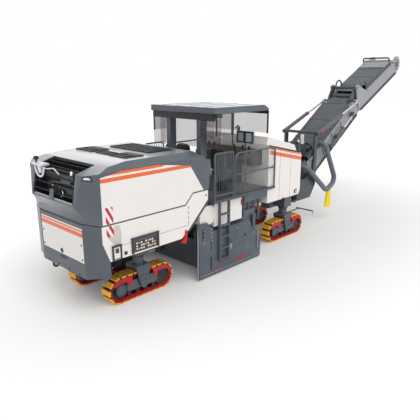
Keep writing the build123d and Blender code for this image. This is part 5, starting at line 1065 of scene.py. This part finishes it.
for label, boom, start, end, depth, ribs, skirt_start in (("lower", LOWER, 1.05, 3.9, 0.55, 5, 0.9),
                                                          ("upper", UPPER, 0.7, 2.75, 0.5, 0, 0.1)):
    body = "boom_" + label
    rims, skirts = bmesh.new(), bmesh.new()
    for side in (-1, 1):
        boom_side(rims, boom, side, start, end + 0.1, 0.5, 0.535, depth - 0.05, depth - 0.005)
        for k in range(ribs):
            s = start + 0.2 + k * (end - start - 0.3) / (ribs - 1)
            boom_side(rims, boom, side, s - 0.02, s + 0.02, 0.5, 0.535, 0.045, depth - 0.05)
        boom_side(skirts, boom, side, skirt_start, end + 0.3, 0.495, 0.537, -0.012, 0.04)
    piece(f"boom_{label}_ribs", rims, BOOM_GREY, body, 0.004)
    piece(f"boom_{label}_skirts", skirts, RUBBER, body, 0.003)
    joints = bmesh.new()
    for k in range(4):
        s = start + 0.02 + k * (end - start - 0.04) / 3
        boom_slab(joints, boom, s - 0.02, s + 0.02, -0.505, 0.505, depth + 0.135, depth + 0.148)
    piece(f"boom_{label}_cover_straps", joints, COVER_PAINT, body, 0.003)
    straps = [(*boom_point(boom, start + 0.1 + 0.2 * k, depth + 0.07, side * 0.5), -side * pi / 2, 0, 0)
              for side in (-1, 1) for k in range(int((end - start) / 0.2))]
    repeated(f"boom_{label}_cover_bolts", bolt_shape(0.022, 0.012), straps, BLACK_METAL, body)

# Drives and cylinders on the boom: the valve cluster behind the mast, the cross tubes with arches over the fold,
# the fold cylinders at the sides and the head plates at the tip.
cluster = bmesh.new()
for s0, s1, y0, y1, n0, n1 in ((0.98, 1.30, -0.34, 0.30, 0.70, 0.82), (1.05, 1.22, -0.30, -0.08, 0.82, 0.95),
                               (1.05, 1.25, 0.02, 0.26, 0.82, 0.92), (1.32, 1.52, -0.40, -0.10, 0.69, 0.79)):
    boom_slab(cluster, LOWER, s0, s1, y0, y1, n0, n1)
for y in (-0.26, -0.16, 0.06, 0.14, 0.22):
    route = ((1.1, 0.92), (1.1, 1.0), (1.3, 1.02), (1.5, 0.86), (1.62, 0.70))
    tube_into(cluster, [boom_point(LOWER, s, n, y) for s, n in route], 0.018, 8)
piece("valve_cluster", cluster, MACHINERY, "boom_lower", 0.006)
cross = bmesh.new()
for s, n in ((4.19, 0.62), (4.38, 0.66)):
    tube_into(cross, [boom_point(LOWER, s, n, -0.36), boom_point(LOWER, s, n, 0.36)], 0.055, 16)
piece("fold_cross_tubes", cross, GREY_PAINT_AND_SHEEN, "boom_lower")
arches = bmesh.new()
for side in (-1, 1):
    path = [boom_point(UPPER, 0.55 + 0.22 * cos(pi - a * pi / 10), 0.62 + 0.26 * sin(a * pi / 10), side * 0.47)
            for a in range(11)]
    tube_into(arches, path, 0.028, 12)
piece("fold_arches", arches, GREY_PAINT_AND_SHEEN, "boom_upper")
fold_barrels, fold_rods = bmesh.new(), bmesh.new()
for side in (-1, 1):
    y = side * 0.60
    tube_into(fold_barrels, [boom_point(LOWER, 2.25, 0.20, y), boom_point(LOWER, 3.15, 0.24, y)], 0.055, 20)
    for s0, s1, reach, n0, n1 in ((2.17, 2.27, 0.64, 0.15, 0.25), (2.6, 2.72, 0.66, 0.14, 0.30),
                                  (3.78, 3.92, 0.64, 0.20, 0.34)):
        boom_side(fold_barrels, LOWER, side, s0, s1, 0.50, reach, n0, n1)
    tube_into(fold_rods, [boom_point(LOWER, 3.15, 0.24, y), boom_point(LOWER, 3.85, 0.27, y)], 0.028, 16)
piece("fold_cylinders", fold_barrels, GREY_PAINT_AND_SHEEN, "boom_lower", 0.006)
piece("fold_rods", fold_rods, BRIGHT_STEEL, "boom_lower")
HEAD_S, HEAD_N, HEAD_RING, HEAD_Y = 3.21, 0.29, 0.16, 0.495
nose = bmesh.new()
for side in (-1, 1):
    tube_into(nose, [boom_point(UPPER, HEAD_S, HEAD_N, side * y) for y in (HEAD_Y, HEAD_Y + 0.02)], 0.085, 24)
    for a in [k * pi / 4 for k in range(8)]:
        s, n = HEAD_S + HEAD_RING * cos(a), HEAD_N + HEAD_RING * sin(a)
        tube_into(nose, [boom_point(UPPER, s, n, side * y) for y in (HEAD_Y, HEAD_Y + 0.011)], 0.035, 14)
    boom_side(nose, UPPER, side, 2.80, 2.93, 0.49, 0.53, 0.44, 0.50)
piece("head_plates", nose, DARK_PAINT, "boom_upper", 0.004)
HANDLE = ((2.62, 0.48, 0.505), (2.62, 0.76, 0.505), (2.65, 0.79, 0.48), (2.65, 0.79, -0.46), (2.66, 0.76, -0.485),
          (2.66, 0.48, -0.485))
loop = bmesh.new()
tube_into(loop, [boom_point(UPPER, *at) for at in HANDLE], 0.028, 10)
piece("head_handle", loop, DARK_PAINT, "boom_upper")
sheet = bmesh.new()
boom_slab(sheet, UPPER, 2.18, 2.745, -0.503, 0.503, 0.632, 0.652)
boom_slab(sheet, UPPER, 2.70, 2.76, -0.503, 0.503, 0.632, 0.672)
piece("head_sheet", sheet, BOOM_GREY, "boom_upper", 0.004)
LIFT_BASE, LIFT_TIP, LIFT_Y, BARREL_LENGTH = (7.15, 2.9), (9.55, 3.8), 0.645, 1.45
bands = bmesh.new()
for side in (-1, 1):
    base, tip = (Vector((x, side * LIFT_Y, z)) for x, z in (LIFT_BASE, LIFT_TIP))
    ahead = (tip - base).normalized()
    for share in (0.06, 0.94):
        spot = base + ahead * BARREL_LENGTH * share
        tube_into(bands, [spot, spot + ahead * 0.05], 0.066, 20)
piece("lift_cylinder_bands", bands, LINK_RED, "lift_barrels")

# Hopper flaps. Rubber sheets at both sides of the boom's lower end and behind it,
# where the loading belt drops its material.
flaps = bmesh.new()
for side in (-1, 1):
    boom_side(flaps, LOWER, side, -0.16, 0.55, 0.505, 0.53, -0.10, 0.42)
boom_slab(flaps, LOWER, -0.18, -0.15, -0.53, 0.53, -0.12, 0.40)
piece("hopper_flaps", flaps, RUBBER, "boom_lower", 0.004)

# Suction sleeve. A yellow fabric sleeve hung from the lowest bend of the duct, loose and a little flattened.
# It is sewn from one piece of cloth, cut wider at the foot than at the head.
SLEEVE_HEAD, SLEEVE_FOOT, SLEEVE_AT, SLEEVE_LENGTH = 0.985, 0.425, (7.88, -0.70), 0.56
SLEEVE_TURN, SLEEVE_RINGS, SLEEVE_SIDES = radians(-28), 15, 40
SLEEVE_YELLOW = finish("sleeve_fabric", (255, 214, 0), 0.7, dust=0.06, grain=500, relief=0.3)
sleeve = bmesh.new()
rings = []
for k in range(SLEEVE_RINGS):
    t = k / (SLEEVE_RINGS - 1)
    z = SLEEVE_HEAD + t * (SLEEVE_FOOT - SLEEVE_HEAD)
    ring = []
    for s in range(SLEEVE_SIDES):
        a = 2 * pi * s / SLEEVE_SIDES
        fold = 1.0 + 0.07 * t * sin(5 * a + 1.2 * t) + 0.03 * sin(3 * a + 2.0)
        wide, deep = (0.080 + 0.034 * t) * fold * cos(a), (0.045 - 0.010 * t) * fold * sin(a)
        ring.append(sleeve.verts.new((SLEEVE_AT[0] + wide * cos(SLEEVE_TURN) - deep * sin(SLEEVE_TURN),
                                      SLEEVE_AT[1] + wide * sin(SLEEVE_TURN) + deep * cos(SLEEVE_TURN), z)))
    rings.append(ring)
for first, second in zip(rings, rings[1:]):
    for s in range(SLEEVE_SIDES):
        n = (s + 1) % SLEEVE_SIDES
        sleeve.faces.new((first[s], second[s], second[n], first[n]))
cloth = piece("duct_sleeve_cloth", sleeve, SLEEVE_YELLOW, "boom_lower", 0.0, ("duct_sleeve",))
